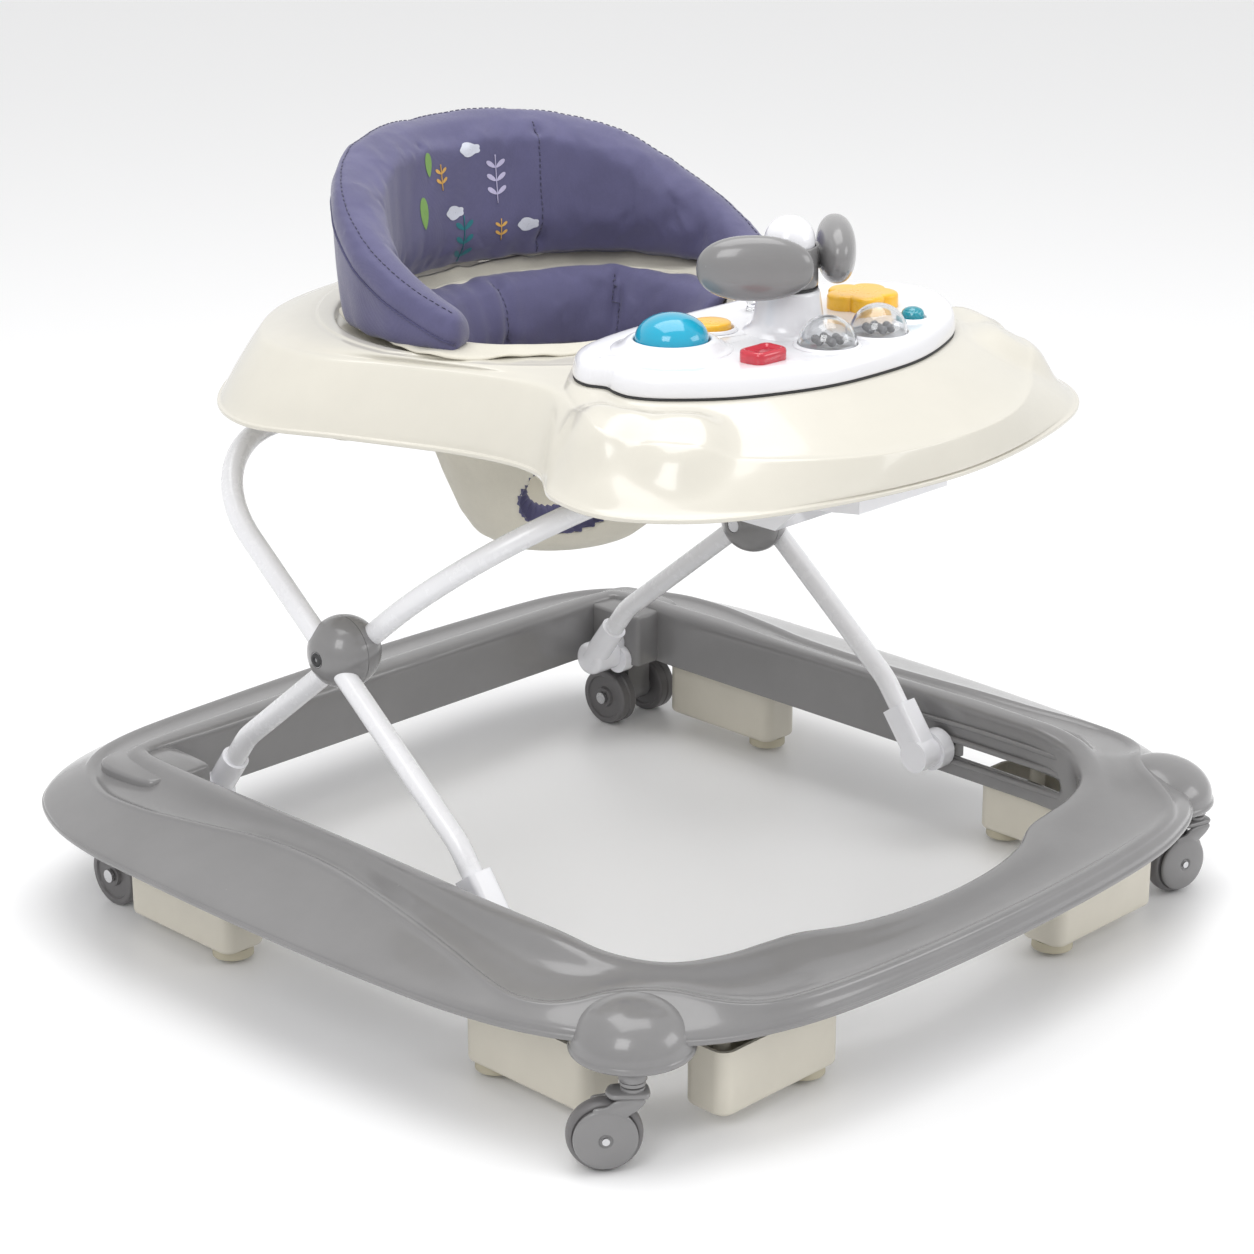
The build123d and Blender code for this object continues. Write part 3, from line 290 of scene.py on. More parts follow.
def spread(tree, value, low, high):
    """Number between low and high by value."""
    node = tree.nodes.new("ShaderNodeMapRange")
    tree.links.new(value, node.inputs["Value"])
    node.inputs["To Min"].default_value = low
    node.inputs["To Max"].default_value = high
    return node.outputs["Result"]


def bump(tree, shader, height, strength, distance, under=None):
    """Bump on the shader from a height, on top of the normal that another bump made."""
    node = tree.nodes.new("ShaderNodeBump")
    node.inputs["Strength"].default_value = strength
    node.inputs["Distance"].default_value = distance
    tree.links.new(height, node.inputs["Height"])
    if under:
        tree.links.new(under, node.inputs["Normal"])
    tree.links.new(node.outputs["Normal"], shader.inputs["Normal"])
    return node.outputs["Normal"]


def plastic(name, colour, rough=0.22, peel=0.06, coat=0.35, tint=0.05, through=0.0, metal=0.0, fine=0.0):
    """Moulded plastic or metal: soft colour drift, orange peel and handling marks."""
    mat, tree, shader, place = material(name)
    drift = noise(tree, place, 14, 4, 0.6)
    low = [c * (1 - tint) for c in colour]
    high = [min(1, c * (1 + tint)) for c in colour]
    tree.links.new(ramp(tree, drift, low, high), shader.inputs["Base Color"])
    marks = noise(tree, place, 90, 6, 0.75)
    tree.links.new(spread(tree, marks, rough * 0.75, rough * 1.3), shader.inputs["Roughness"])
    skin_height = noise(tree, place, 420, 2, 0.5)
    under = bump(tree, shader, skin_height, peel, 0.0006)
    if fine:
        bump(tree, shader, noise(tree, place, 1600, 3, 0.6), fine, 0.0003, under)
    shader.inputs["Coat Weight"].default_value = coat
    shader.inputs["Coat Roughness"].default_value = 0.06
    shader.inputs["Metallic"].default_value = metal
    shader.inputs["Transmission Weight"].default_value = through
    return mat


def wave(tree, place, direction, scale, twist=0.4):
    """Bands along an axis, from 0 to 1."""
    node = tree.nodes.new("ShaderNodeTexWave")
    node.bands_direction = direction
    tree.links.new(place, node.inputs["Vector"])
    node.inputs["Scale"].default_value = scale
    node.inputs["Distortion"].default_value = twist
    node.inputs["Detail"].default_value = 1.0
    return node.outputs["Fac"]


def maths(tree, operation, a, b):
    """Math node on two sockets or numbers."""
    node = tree.nodes.new("ShaderNodeMath")
    node.operation = operation
    for socket, value in zip(node.inputs, (a, b)):
        if hasattr(value, "is_output"):
            tree.links.new(value, socket)
        else:
            socket.default_value = value
    return node.outputs[0]


def fabric(name, colour, thread=0.55, rough=0.62, weave=0.35, mottle=0.10, sheen=0.35, slub=0.0):
    """Woven cloth: warp and weft on all three axes, slight mottling, soft sheen."""
    mat, tree, shader, place = material(name)
    scale = 0.314 / (thread * MM)
    across = maths(tree, "MULTIPLY", wave(tree, place, "X", scale), wave(tree, place, "Y", scale))
    up = maths(tree, "ADD", across, wave(tree, place, "Z", scale))
    drift = noise(tree, place, 22, 5, 0.65)
    lint = noise(tree, place, 700, 3, 0.7)
    mixed = maths(tree, "ADD", maths(tree, "MULTIPLY", drift, 0.75), maths(tree, "MULTIPLY", lint, 0.25))
    low = [c * (1 - mottle) for c in colour]
    high = [min(1, c * (1 + mottle)) for c in colour]
    tree.links.new(ramp(tree, mixed, low, high, 0.35, 0.65), shader.inputs["Base Color"])
    tree.links.new(spread(tree, drift, rough * 0.9, min(1, rough * 1.12)), shader.inputs["Roughness"])
    under = bump(tree, shader, up, weave, 0.0002)
    soft = noise(tree, place, 60, 3, 0.55)
    bump(tree, shader, soft, 0.25 + slub, 0.0015, under)
    shader.inputs["Sheen Weight"].default_value = sheen
    shader.inputs["Sheen Roughness"].default_value = 0.45
    shader.inputs["Specular IOR Level"].default_value = 0.3
    return mat


GREY = plastic("moulded_grey", (0.205, 0.202, 0.203), 0.24, 0.05, 0.45)
GREY_DARK = plastic("wheel_grey_plastic", (0.135, 0.130, 0.132), 0.38, 0.08, 0.15)
IVORY = plastic("moulded_ivory", (0.62, 0.595, 0.525), 0.22, 0.04, 0.5, tint=0.025)
IVORY_SATIN = plastic("stopper_ivory", (0.64, 0.605, 0.52), 0.42, 0.06, 0.1, tint=0.04)
PAD = plastic("pad_rubber_beige", (0.50, 0.46, 0.35), 0.6, 0.1, 0.0, fine=0.15)
WHITE = plastic("moulded_white", (0.80, 0.80, 0.83), 0.18, 0.03, 0.5, tint=0.015)
TUBE_WHITE = plastic("powder_coat_white", (0.78, 0.78, 0.80), 0.26, 0.12, 0.4, tint=0.02)
STEEL = plastic("zinc_plate", (0.60, 0.60, 0.61), 0.28, 0.05, 0.0, metal=1.0)
BLUE = plastic("dome_blue", (0.0, 0.34, 0.52), 0.12, 0.02, 0.6)
YELLOW = plastic("button_yellow", (0.90, 0.49, 0.02), 0.28, 0.03, 0.4)
RED = plastic("button_red", (0.72, 0.03, 0.06), 0.15, 0.02, 0.6, through=0.35)
TEAL = plastic("button_teal", (0.0, 0.36, 0.46), 0.15, 0.02, 0.6, through=0.35)
CLEAR = plastic("clear_dome", (0.96, 0.97, 0.98), 0.04, 0.01, 0.3, tint=0.01, through=0.95)
BEAD = plastic("bead_grey", (0.10, 0.10, 0.11), 0.2, 0.02, 0.4)
DARK = plastic("dark_plastic", (0.03, 0.03, 0.032), 0.5, 0.06, 0.0)
INDIGO = fabric("indigo_satin", (0.098, 0.094, 0.190))
INDIGO_SIDE = fabric("indigo_textured", (0.072, 0.069, 0.145), thread=1.1, weave=0.8, rough=0.75,
                     mottle=0.2, sheen=0.2)
CREAM = fabric("cream_cloth", (0.66, 0.63, 0.54), thread=0.7, rough=0.7, mottle=0.05, sheen=0.2)
THREAD = fabric("thread_dark", (0.045, 0.043, 0.10), thread=0.4, weave=0.6)

SLOT_MATERIALS = {
    "grey_plastic": GREY, "ivory_plastic": IVORY_SATIN, "white_plastic": WHITE, "white_tube": TUBE_WHITE,
    "steel": STEEL, "pad_rubber": PAD, "wheel_grey": GREY_DARK, "blue_plastic": BLUE,
    "yellow_plastic": YELLOW, "red_plastic": RED, "teal_plastic": TEAL, "clear_plastic": CLEAR,
    "bead_plastic": BEAD, "dark_plastic": DARK, "indigo_fabric": INDIGO, "cream_fabric": CREAM,
}
for entry in frame["record"]["subparts"]:
    held = frame["nodes"][entry["node"]].data
    held.materials.clear()
    held.materials.append(SLOT_MATERIALS[entry["material_slot"]])


# ---------------------------------------------------------------- base ring
# half outlines from the front middle round to the rear middle; the third number is height
RIM = [(0, -363), (101, -360), (180, -352), (232, -338), (262, -323), (284, -304), (301, -286), (315, -265),
       (328, -240), (340, -205), (350, -150), (357, -60), (360, 40), (359.5, 140), (357, 205), (345, 262), (318, 310),
       (270, 341), (205, 356), (110, 361.5), (0, 363)]
RIDGE = [(0, -357, 97), (85, -355, 97), (161, -348, 97), (208, -338, 97), (232, -324, 98), (247, -305, 100),
         (257, -287, 102), (270, -270, 102), (286, -256, 101), (301, -246, 98), (312, -236, 96),
         (320, -222, 95), (324, -202, 95), (321, -172, 97), (313, -134, 99), (305, -87, 102),
         (297, -38, 104), (291, 10, 105.5), (290, 55, 106), (293, 95, 105.5), (300, 128, 104.5),
         (308, 168, 103), (313, 204, 102), (310, 250, 101), (284, 298, 101), (230, 325, 101),
         (120, 334, 101), (0, 337, 101)]
HOLE = [(0, -304), (50, -300), (92, -289), (125, -273), (150, -268), (185, -262), (222, -247), (244, -220),
        (251, -190), (252, -140), (252, -60), (252, 60), (252, 180), (252, 240), (250, 262), (238, 270),
        (160, 270), (60, 270), (0, 270)]
STATIONS = 420


def base_ring():
    """Section of the ring, swept round between the hole and the rim."""
    outer = spaced(curve(mirrored(RIM)), STATIONS)
    angles = np.arctan2(outer[:, 1], outer[:, 0])
    rim = np.linalg.norm(outer, axis=1)
    ridge, ridge_z = radii(curve(mirrored(RIDGE)), (0, 0), angles).T
    hole = radii(curve(mirrored(HOLE)), (0, 0), angles)[:, 0]
    way = outer / rim[:, None]
    y = way[:, 1] * hole
    slots = smooth(-245, -235, y) * (1 - smooth(-75, -65, y)) * smooth(0.5, 0.7, np.abs(way[:, 0]))
    crest = 112 - 13 * (1 - smooth(-275, -170, y))
    skirt = 62 - 12 * slots
    room = ridge - hole
    roll = np.minimum(20, room * 0.3)
    dish = 4.5 * smooth(20, 70, room)
    section = [
        (hole, skirt), (hole, skirt + 3), (hole, crest - 12), (hole + 0.8, crest - 4.5),
        (hole + roll * 0.2, crest - 1), (hole + roll * 0.6, crest), (hole + roll, crest - 0.6),
        (hole + room * 0.45, (crest * 0.55 + ridge_z * 0.45) - dish),
        (hole + room * 0.7, (crest * 0.28 + ridge_z * 0.72) - dish),
        (ridge - 9, ridge_z - 1.8), (ridge - 4.5, ridge_z + 0.2), (ridge, ridge_z + 0.8),
        (ridge + 2.2, ridge_z - 1.2),
        (ridge + (rim - ridge) * 0.45, ridge_z * 0.5 + 43.5),
        (rim - (rim - ridge) * 0.16, ridge_z * 0.12 + 76),
        (rim - 1.6, 85), (rim - 1.4, 83.4), (rim, 82.8), (rim, 79.6), (rim - 2.6, 79.4),
        (rim - 3, 82), (ridge + (rim - ridge) * 0.4, ridge_z * 0.5 + 39.5), (ridge - 2, ridge_z - 4),
        (hole + room * 0.5, (crest + ridge_z) / 2 - dish - 4), (hole + 5, crest - 6), (hole + 3, crest - 12),
        (hole + 3, skirt + 3), (hole + 3, skirt),
    ]
    lines = np.array([np.column_stack([way * np.asarray(r)[:, None], np.asarray(z) + 0 * rim])
                      for r, z in section])
    return skin(softened(lines, 2), around=True, along=True)


def carve(obj, *cutters):
    """Cuts closed shapes out of obj and applies the cuts."""
    for verts, faces in cutters:
        mesh = bpy.data.meshes.new("cutter")
        mesh.from_pydata([tuple(v * MM) for v in np.asarray(verts, float)], [], faces)
        bm = bmesh.new()
        bm.from_mesh(mesh)
        bmesh.ops.recalc_face_normals(bm, faces=bm.faces)
        bm.to_mesh(mesh)
        bm.free()
        tool = bpy.data.objects.new("cutter", mesh)
        bpy.context.scene.collection.objects.link(tool)
        applied(obj, "BOOLEAN", operation="DIFFERENCE", solver="EXACT", object=tool)
        bpy.data.objects.remove(tool)


def slot_outline(low, high, middle, height, count=16):
    """Plan of a slot with round ends, in (y, z)."""
    r = height / 2
    rear = [(high - r + r * math.cos(a), middle + r * math.sin(a))
            for a in np.linspace(-math.pi / 2, math.pi / 2, count)]
    front = [(low + r + r * math.cos(a), middle + r * math.sin(a))
             for a in np.linspace(math.pi / 2, 1.5 * math.pi, count)]
    return np.array(rear + front)


slider_low, slider_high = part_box("slider_left")
SLOT_MIDDLE_Z = (slider_low.z + slider_high.z) / 2 / MM
SLOT_REAR_Y = slider_high.y / MM + 0.6
SLOT_FRONT_Y = -212.5


def slot_cutter(sign):
    """Bar that cuts the slider's slot through one side."""
    line = slot_outline(SLOT_FRONT_Y, SLOT_REAR_Y, SLOT_MIDDLE_Z, 11.4)
    rows = [np.column_stack([np.full(len(line), sign * x), line]) for x in (238, 262)]
    return skin(rows, around=True, caps=True)


ring_verts, ring_faces = base_ring()
ring = piece("base_ring", ring_verts, ring_faces, GREY, "base", "grey_plastic")
carve(ring, slot_cutter(1), slot_cutter(-1))
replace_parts(ring, "base_front", "base_rear", "base_side_left", "base_side_right")


def slot_lips():
    """Raised lip round each slot, on the inside of the ring."""
    lots = []
    for sign in SIDES.values():
        line = slot_outline(SLOT_FRONT_Y - 3.4, SLOT_REAR_Y + 3.4, SLOT_MIDDLE_Z, 18.4)
        path = np.column_stack([np.full(len(line), sign * 250.6), line])
        lots.append(tube(path, 2.6, 10, closed=True))
        ledge = [(sign * 250.8, y, 92 + 2.5 * math.cos((y + 150) / 60)) for y in np.linspace(-225, -40, 24)]
        lots.append(tube(ledge, 2.0, 10))
    return joined(*lots)


def corner_blocks():
    """Raised blocks over the rear pivots."""
    lots = []
    for sign in SIDES.values():
        corner = spaced(curve([(sign * 228, 226), (sign * 236, 220), (sign * 272, 221), (sign * 284, 232),
                               (sign * 285, 276), (sign * 272, 290), (sign * 240, 290), (sign * 228, 282)]), 64)
        lots.append(plate(corner, 62, 107.5, 3.0))
    return joined(*lots)


STEM_AT, DOME_AT = (305, -296), (285, -276)


def caster_domes():
    """Ball cap over each caster, with a rolled lip, and the post that its stem turns in."""
    lots = []
    for sign in SIDES.values():
        profile = [(36, 70.4), (38.5, 70.2), (41.0, 70.2), (41.6, 71.2), (41.4, 73.2), (40.6, 74.2), (40.2, 75)]
        profile += [(40.2 * math.cos(a) ** 0.92, 75 + 28.8 * math.sin(a)) for a in np.linspace(0.1, 1.52, 18)]
        profile.append((0, 103.8))
        lots.append(turned(profile, 72, (sign * DOME_AT[0], DOME_AT[1], 0)))
        post = [(6.6, 62.2), (8.6, 62.2), (9.4, 63), (9.8, 72), (0, 72)]
        lots.append(turned(post, 40, (sign * STEM_AT[0], STEM_AT[1], 0)))
    return joined(*lots)


for part_name, made in (("slot_lips", slot_lips()), ("rear_corner_blocks", corner_blocks()),
                        ("caster_domes", caster_domes())):
    piece(part_name, *made, GREY, "base", "grey_plastic")


# ---------------------------------------------------------------- tray
TRAY_RIM = [(0, 292), (125, 268), (222, 200), (257, 128), (230, 52), (199, -35), (196, -98), (229, -150),
            (228, -212), (160, -270), (0, -302)]
TRAY_EDGE = [(0, 262, 441), (120, 240, 440), (196, 178, 440), (212, 112, 440), (188, 36, 442),
             (168, -42, 444), (167, -90, 443), (186, -132, 437), (196, -176, 428), (150, -240, 424),
             (78, -284, 420), (0, -296, 419)]
RIM_Z, DECK_Z = 393.0, 448.0
# outline of the toy panel: the right half and the rear, then round the left side to the front
PANEL = [(0, -228), (44, -225), (84, -213), (122, -194), (149, -168), (164, -138), (160, -104), (140, -82),
         (110, -66), (60, -60), (0, -59)]
PANEL_NEAR = [(-60, -60), (-108, -66), (-136, -76), (-152, -92), (-157, -108), (-153, -122), (-157, -134),
              (-158, -150), (-147, -170), (-118, -196), (-84, -213), (-44, -225)]
SEAT_Y = 70.0
TRAY_CENTRE = (0, 30)
WELL = (173.0, 150.0)
GROOVE = (187.0, 173.0)
LAMP_HEIGHT, LAMP_SPREAD = 9.0, 0.022 / 9.5


def ellipse_reach(a, b, centre_y, angles):
    """Distance from the tray's centre to an ellipse on the middle line."""
    line = [(a * math.cos(t), centre_y + b * math.sin(t)) for t in np.arange(720) / 720 * TAU]
    return radii(line, TRAY_CENTRE, angles)[:, 0]


def panel_reach(angles):
    """Distance from the tray's centre to the far edge of the toy panel, or 0 where it isn't in the way."""
    off = spaced(curve(PANEL + PANEL_NEAR), 1440) - np.array(TRAY_CENTRE)
    away = np.angle(np.exp(1j * (np.arctan2(off[:, 1], off[:, 0])[None] - angles[:, None])))
    return np.where(np.abs(away) < 0.012, np.linalg.norm(off, axis=1)[None], 0).max(1)


def lamps(x, y):
    """Height of the two-lobed swelling at each front corner."""
    reach = 0.0
    for sx, sy, radius in ((184, -156, 36), (168, -203, 37)):
        away = np.hypot(np.abs(x) - sx, y - sy) / radius
        reach = reach + np.exp(-6 * away)
    away = -np.log(reach) / 6
    return LAMP_HEIGHT * (1 - smooth(0.35, 1.12, away))


def tray():
    """Section of the tray, swept round between the seat's hole and the rim."""
    outer = spaced(curve(mirrored(TRAY_RIM)), STATIONS)
    off = outer - np.array(TRAY_CENTRE)
    angles = np.arctan2(off[:, 1], off[:, 0])
    rim = np.linalg.norm(off, axis=1)
    edge, edge_z = radii(curve(mirrored(TRAY_EDGE)), TRAY_CENTRE, angles).T
    way = off / rim[:, None]
    hole = ellipse_reach(138, 113, SEAT_Y, angles)
    well = ellipse_reach(*WELL, SEAT_Y, angles)
    groove = np.minimum(ellipse_reach(*GROOVE, SEAT_Y, angles), edge - 9)
    front = 1 - smooth(-20, 25, TRAY_CENTRE[1] + way[:, 1] * well)
    flat = DECK_Z - 0.4
    sunk = flat - 7 * (1 - front)
    middle = (well + 4) * (1 - front) + (hole + 12) * front
    groove = groove * (1 - front) + np.maximum(middle + 4, np.minimum(groove, edge - 12)) * front
    room = rim - edge
    deck = np.maximum(groove + 4, np.minimum(panel_reach(angles) + 3, edge - 7) * front)
    rows = [
        (hole, 416 + 0 * rim), (hole, sunk - 3), (hole + 1.2, sunk - 0.8), (hole + 3, sunk),
        (middle - 5, sunk), (middle - 1.2, sunk + 0.2), (middle, sunk + 1.2 + 2 * (1 - front)),
        (middle + 0.8, flat - 1.0), (middle + 3, flat),
        (groove - 3, flat), (groove - 0.8, flat - 0.1), (groove + 0.4, flat - 1.1 * (1 - front)),
        (groove + 3, flat - 1.2 * (1 - front)),
        (deck, flat - 1.2 * (1 - front)), (deck + 1.5, flat - 0.4 - 0.9 * (1 - front)),
        (edge * 0.5 + deck * 0.5, (flat + edge_z) / 2 + 0.4),
        (edge - 5, edge_z + 0.9), (edge, edge_z),
        (edge + room * 0.10, edge_z - 1.6 - 0.02 * room),
        (edge + room * 0.38, RIM_Z + (edge_z - RIM_Z) * 0.70),
        (edge + room * 0.68, RIM_Z + (edge_z - RIM_Z) * 0.39),
        (edge + room * 0.87, RIM_Z + (edge_z - RIM_Z) * 0.15 + 0.4),
        (rim - 2.8, RIM_Z + 4.0), (rim - 1.9, RIM_Z + 3.4), (rim - 0.3, RIM_Z + 3.2), (rim, RIM_Z + 1.6),
        (rim - 0.4, RIM_Z + 0.2), (rim - 2.2, RIM_Z + 0.1), (rim - 3.2, RIM_Z + 1),
        (edge + room * 0.64, RIM_Z + (edge_z - RIM_Z) * 0.36 - 2.4),
        (edge - 1.6, edge_z - 3.6), (groove - 2, flat - 4.6), (middle + 4, flat - 5),
        (middle + 2, sunk - 3.5), (hole + 4, sunk - 3.5), (hole + 3, sunk - 6), (hole + 3, 416 + 0 * rim),
    ]
    lines = []
    for r, z in rows:
        xy = np.array(TRAY_CENTRE) + way * r[:, None]
        lines.append(np.column_stack([xy, np.broadcast_to(z, r.shape)]))
    lines = softened(np.array(lines), 2)
    top = smooth(396.5, 404, lines[..., 2]) * (1 - smooth(438, 446, lines[..., 2]))
    swell = lamps(lines[..., 0], lines[..., 1]) * top
    lines[..., 2] += swell
    grow = 1 + LAMP_SPREAD * swell
    lines[..., :2] = np.array(TRAY_CENTRE) + (lines[..., :2] - np.array(TRAY_CENTRE)) * grow[..., None]
    return skin(lines, around=True, along=True)


tray_piece = piece("tray_moulding", *tray(), IVORY, "tray", "ivory_plastic")
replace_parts(tray_piece, "tray_shell")


def tray_trim():
    """Ribs under the tray that hold the clips and the adjuster, and the two clip tabs under the rim."""
    lots = []
    for x in (-60, 60):
        rib = spaced(curve([(x - 10, 217), (x + 10, 217), (x + 10, 242), (x - 10, 242)]), 24)
        lots.append(plate(rib, 436.6, 444.5, 1.0))
    for sign in SIDES.values():
        tab = [(sign * x, y) for x, y in ((205, 64), (213, 60), (221, 66), (222, 78), (213, 82), (205, 76))]
        lots.append(plate(spaced(curve(tab), 24), 388, 399, 1.6))
    return joined(*lots)


piece("tray_trim", *tray_trim(), IVORY, "tray", "ivory_plastic")


# ---------------------------------------------------------------- toy panel
BLUE_AT, YELLOW_AT, RED_AT, TEAL_AT = (-92, -124), (-36, -108), (-72, -188), (82, -188)
CLOUD_AT = (88, -136)
POST_AT = (0, -146)


def panel_lines(inset):
    """Outline of the toy panel, drawn in by inset."""
    line = spaced(curve(PANEL + PANEL_NEAR), 240)
    normal = np.roll(line, -1, 0) - np.roll(line, 1, 0)
    normal = np.column_stack([-normal[:, 1], normal[:, 0]])
    normal /= np.linalg.norm(normal, axis=1)[:, None]
    return line + normal * inset


def panel():
    """Toy panel: rounded wall and a nearly flat top."""
    levels = [(4.5, 448.6), (3.2, 448.6), (0.8, 449.2), (0, 450.4), (0.3, 455), (1.4, 460), (3.2, 463),
              (6.4, 464.8), (10, 465.2), (22, 464.6)]
    rows = [np.column_stack([panel_lines(inset), np.full(240, z)]) for inset, z in levels]
    middle = np.array([0, -142])
    for share in (0.75, 0.5, 0.25, 0.02):
        inner = middle + (panel_lines(22) - middle) * share
        rows.append(np.column_stack([inner, np.full(240, 464.4)]))
    return skin(softened(rows[:9], 2, closed=False).tolist() + rows[9:], around=True, caps=True)


def at(place, z=0):
    """The place on the panel, at a height."""
    return (place[0], place[1], z)


def raised_parts():
    """Ring round the blue dome, the post, low plinths and button collars."""
    ring_shape = [(25.6, 462), (25.6, 470.4), (26.4, 471.8), (28, 472), (30.5, 471.2), (33.5, 468.4), (37, 465.8),
                  (41.5, 464.9), (42, 463)]
    post = [(33, 463.5), (30, 465), (27, 467), (24.6, 471), (23.4, 478), (22.2, 486), (21.6, 491), (20.8, 493.2),
            (19, 493.9), (5.9, 493.9), (5.9, 499)]
    lots = [turned(softened(shape, 2, False), 72, at(place))
            for shape, place in ((ring_shape, BLUE_AT), (post, POST_AT))]
    for place, r in ((YELLOW_AT, 15), (TEAL_AT, 9.2)):
        collar = [(r, 462), (r + 0.2, 466), (r + 1, 466.8), (r + 2.2, 466), (r + 3.4, 464.6)]
        lots.append(turned(softened(collar, 2, False), 56, at(place)))
    for place in ((-13, -193), (36, -196)):
        seat = [(20.1, 463), (20.3, 465.9), (21, 466.4), (22.2, 466), (23.4, 464.6)]
        lots.append(turned(softened(seat, 2, False), 56, at(place)))
    return joined(*lots)


panel_piece = piece("panel_moulding", *panel(), WHITE, "tray", "white_plastic")
piece("panel_raised_parts", *raised_parts(), WHITE, "tray", "white_plastic")
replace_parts(panel_piece, "toy_panel")

# dark band in the seam under the toy panel: painted shade where the panel meets the tray, not a separate part
gap_rows = [np.column_stack([panel_lines(inset), np.full(240, z)]) for inset, z in ((3.6, 447.2), (0.4, 447.6),
                                                                                    (0.6, 448.9), (3.6, 449))]
piece("panel_seam_painted_shade", *skin(gap_rows, along=True), DARK, "tray", "dark_plastic")


def rounded_square(place, w, h, r):
    """Plan outline with round corners, round a place on the panel."""
    corners = []
    for k, (sx, sy) in enumerate(((1, 1), (-1, 1), (-1, -1), (1, -1))):
        for a in np.linspace(0, math.pi / 2, 8) + k * math.pi / 2:
            corners.append((place[0] + sx * (w / 2 - r) + r * math.cos(a),
                            place[1] + sy * (h / 2 - r) + r * math.sin(a)))
    return np.array(corners)


def red_key():
    """Rounded key with a raised rim and a dished middle."""
    rows = []
    for inset, z in ((0, 460.5), (0, 470.5), (0.5, 472), (2, 472.9), (3.6, 472.6), (4.8, 471.2), (7.5, 470.6)):
        outline = rounded_square(RED_AT, 29.6 - 2 * inset, 21.6 - 2 * inset, max(6 - inset, 1))
        rows.append(np.column_stack([outline, np.full(32, z)]))
    return skin(rows, around=True, caps=True)


def cloud_line(grow):
    """Five-lobed cloud, round the outside of its lobes."""
    out = []
    for a in np.arange(240) / 240 * TAU:
        lobe = abs(math.cos(2.5 * (a - math.radians(20))))
        out.append((CLOUD_AT[0] + (20.2 + 6.0 * lobe ** 0.7 + grow) * math.cos(a),
                    CLOUD_AT[1] + (20.2 + 6.0 * lobe ** 0.7 + grow) * math.sin(a)))
    return np.array(out)


def cloud_key():
    """Cloud button with a rounded rim."""
    rows = [np.column_stack([cloud_line(g), np.full(240, z)])
            for g, z in ((0, 460.5), (0, 472), (-0.5, 473.6), (-2.0, 474.7), (-4.5, 475), (-12, 474.8))]
    return skin(softened(rows, 2, closed=False), around=True, caps=True)


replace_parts(piece("red_key", *red_key(), RED, "red_button", "red_plastic"), "red_button")
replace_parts(piece("cloud_key", *cloud_key(), YELLOW, "cloud_button", "yellow_plastic"), "cloud_button")


def dome_cap(place, radius, low, rise, lip):
    """Button with a ball cap over a short wall."""
    profile = [(radius - 1, low), (radius, low + 0.6), (radius, lip)]
    for a in np.linspace(0.05, math.pi / 2, 20):
        profile.append((radius * math.cos(a), lip + rise * math.sin(a)))
    profile[-1] = (0, lip + rise)
    return turned(profile, 72, at(place))


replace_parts(piece("blue_dome", *dome_cap(BLUE_AT, 24.8, 461, 17, 471.6), BLUE,
                  "blue_dome_button", "blue_plastic"), "blue_dome_button")
yellow_profile = [(13, 460.6), (13.8, 461), (13.8, 468.4), (13.2, 469.8), (11.6, 470.6), (6, 471), (0, 471)]
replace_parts(piece("yellow_key", *turned(softened(yellow_profile, 2, False), 56, at(YELLOW_AT)), YELLOW,
                  "small_yellow_button", "yellow_plastic"), "small_yellow_button")


def teal_key():
    """Small faceted dome, as a cut bead."""
    rows = []
    for k, (r, z) in enumerate(((8, 461), (8, 468.6), (7.4, 470.4), (5.8, 472), (3.4, 473), (0.6, 473.4))):
        turn = np.arange(16) / 16 * TAU + (k % 2) * math.pi / 16
        rows.append([(TEAL_AT[0] + r * math.cos(a), TEAL_AT[1] + r * math.sin(a), z) for a in turn])
    return skin(rows, around=True, caps=True)


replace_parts(piece("teal_key", *teal_key(), TEAL, "teal_button", "teal_plastic", shade=False), "teal_button")


def side_knob():
    """Small clear knob on the panel's inner rim, behind the post."""
    profile = [(0, 464.8), (4.5, 464.8), (3.2, 467), (3.0, 470), (5.2, 472.5), (6.2, 476), (5.0, 479.5),
               (0, 481)]
    return turned(softened(profile, 2, False), 40, (22, -92, 0))


piece("side_knob", *side_knob(), CLEAR, "tray", "clear_plastic")


# ---------------------------------------------------------------- steering toy
def yoke():
    """Cup with two paddle grips on short necks."""
    lots = []
    cup = [(6.1, 495.6), (18.6, 495.6), (20, 496.6), (20, 500), (19.6, 512), (19.6, 521.5), (19.2, 523.4),
           (18.2, 523.8),
           (17.9, 522), (17.9, 512), (12, 506), (6.1, 505)]
    lots.append(turned(softened(cup, 2, False), 64, at(POST_AT)))
    for sign in SIDES.values():
        along = Vector((sign, 1, 0)).normalized()
        up = Vector((0, 0, 1))
        across = up.cross(along)
        turn = Matrix((along, across, up)).transposed()
        centre = (sign * 41, POST_AT[1] - 6, 515)
        lots.append(blob(centre, (39.5, 13.2, 21.6), [list(r) for r in turn], power=2.25, taper=-0.05))
        neck = [(sign * x, POST_AT[1] - back, z)
                for x, back, z in ((12, 1, 510), (19, 2, 511), (26, 3, 512.5), (34, 5, 514))]
        lots.append(tube(neck, [9.5, 8.2, 8.6, 10], 24))
    return joined(*lots)


yoke_piece = piece("steering_grips", *yoke(), GREY, "steering_yoke", "grey_plastic")
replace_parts(yoke_piece, "steering_yoke")


def ring_line(radius, z, thick, place):
    """Thin ring round a place on the panel."""
    line = [(place[0] + radius * math.cos(a), place[1] + radius * math.sin(a), z)
            for a in np.arange(64) / 64 * TAU]
    return tube(line, thick, 8, closed=True)


# dark ring in the gap between the post and the yoke's cup: painted shade in that gap
piece("yoke_gap_painted_shade", *ring_line(19.2, 494.8, 0.9, POST_AT), DARK, "steering_yoke", "dark_plastic")


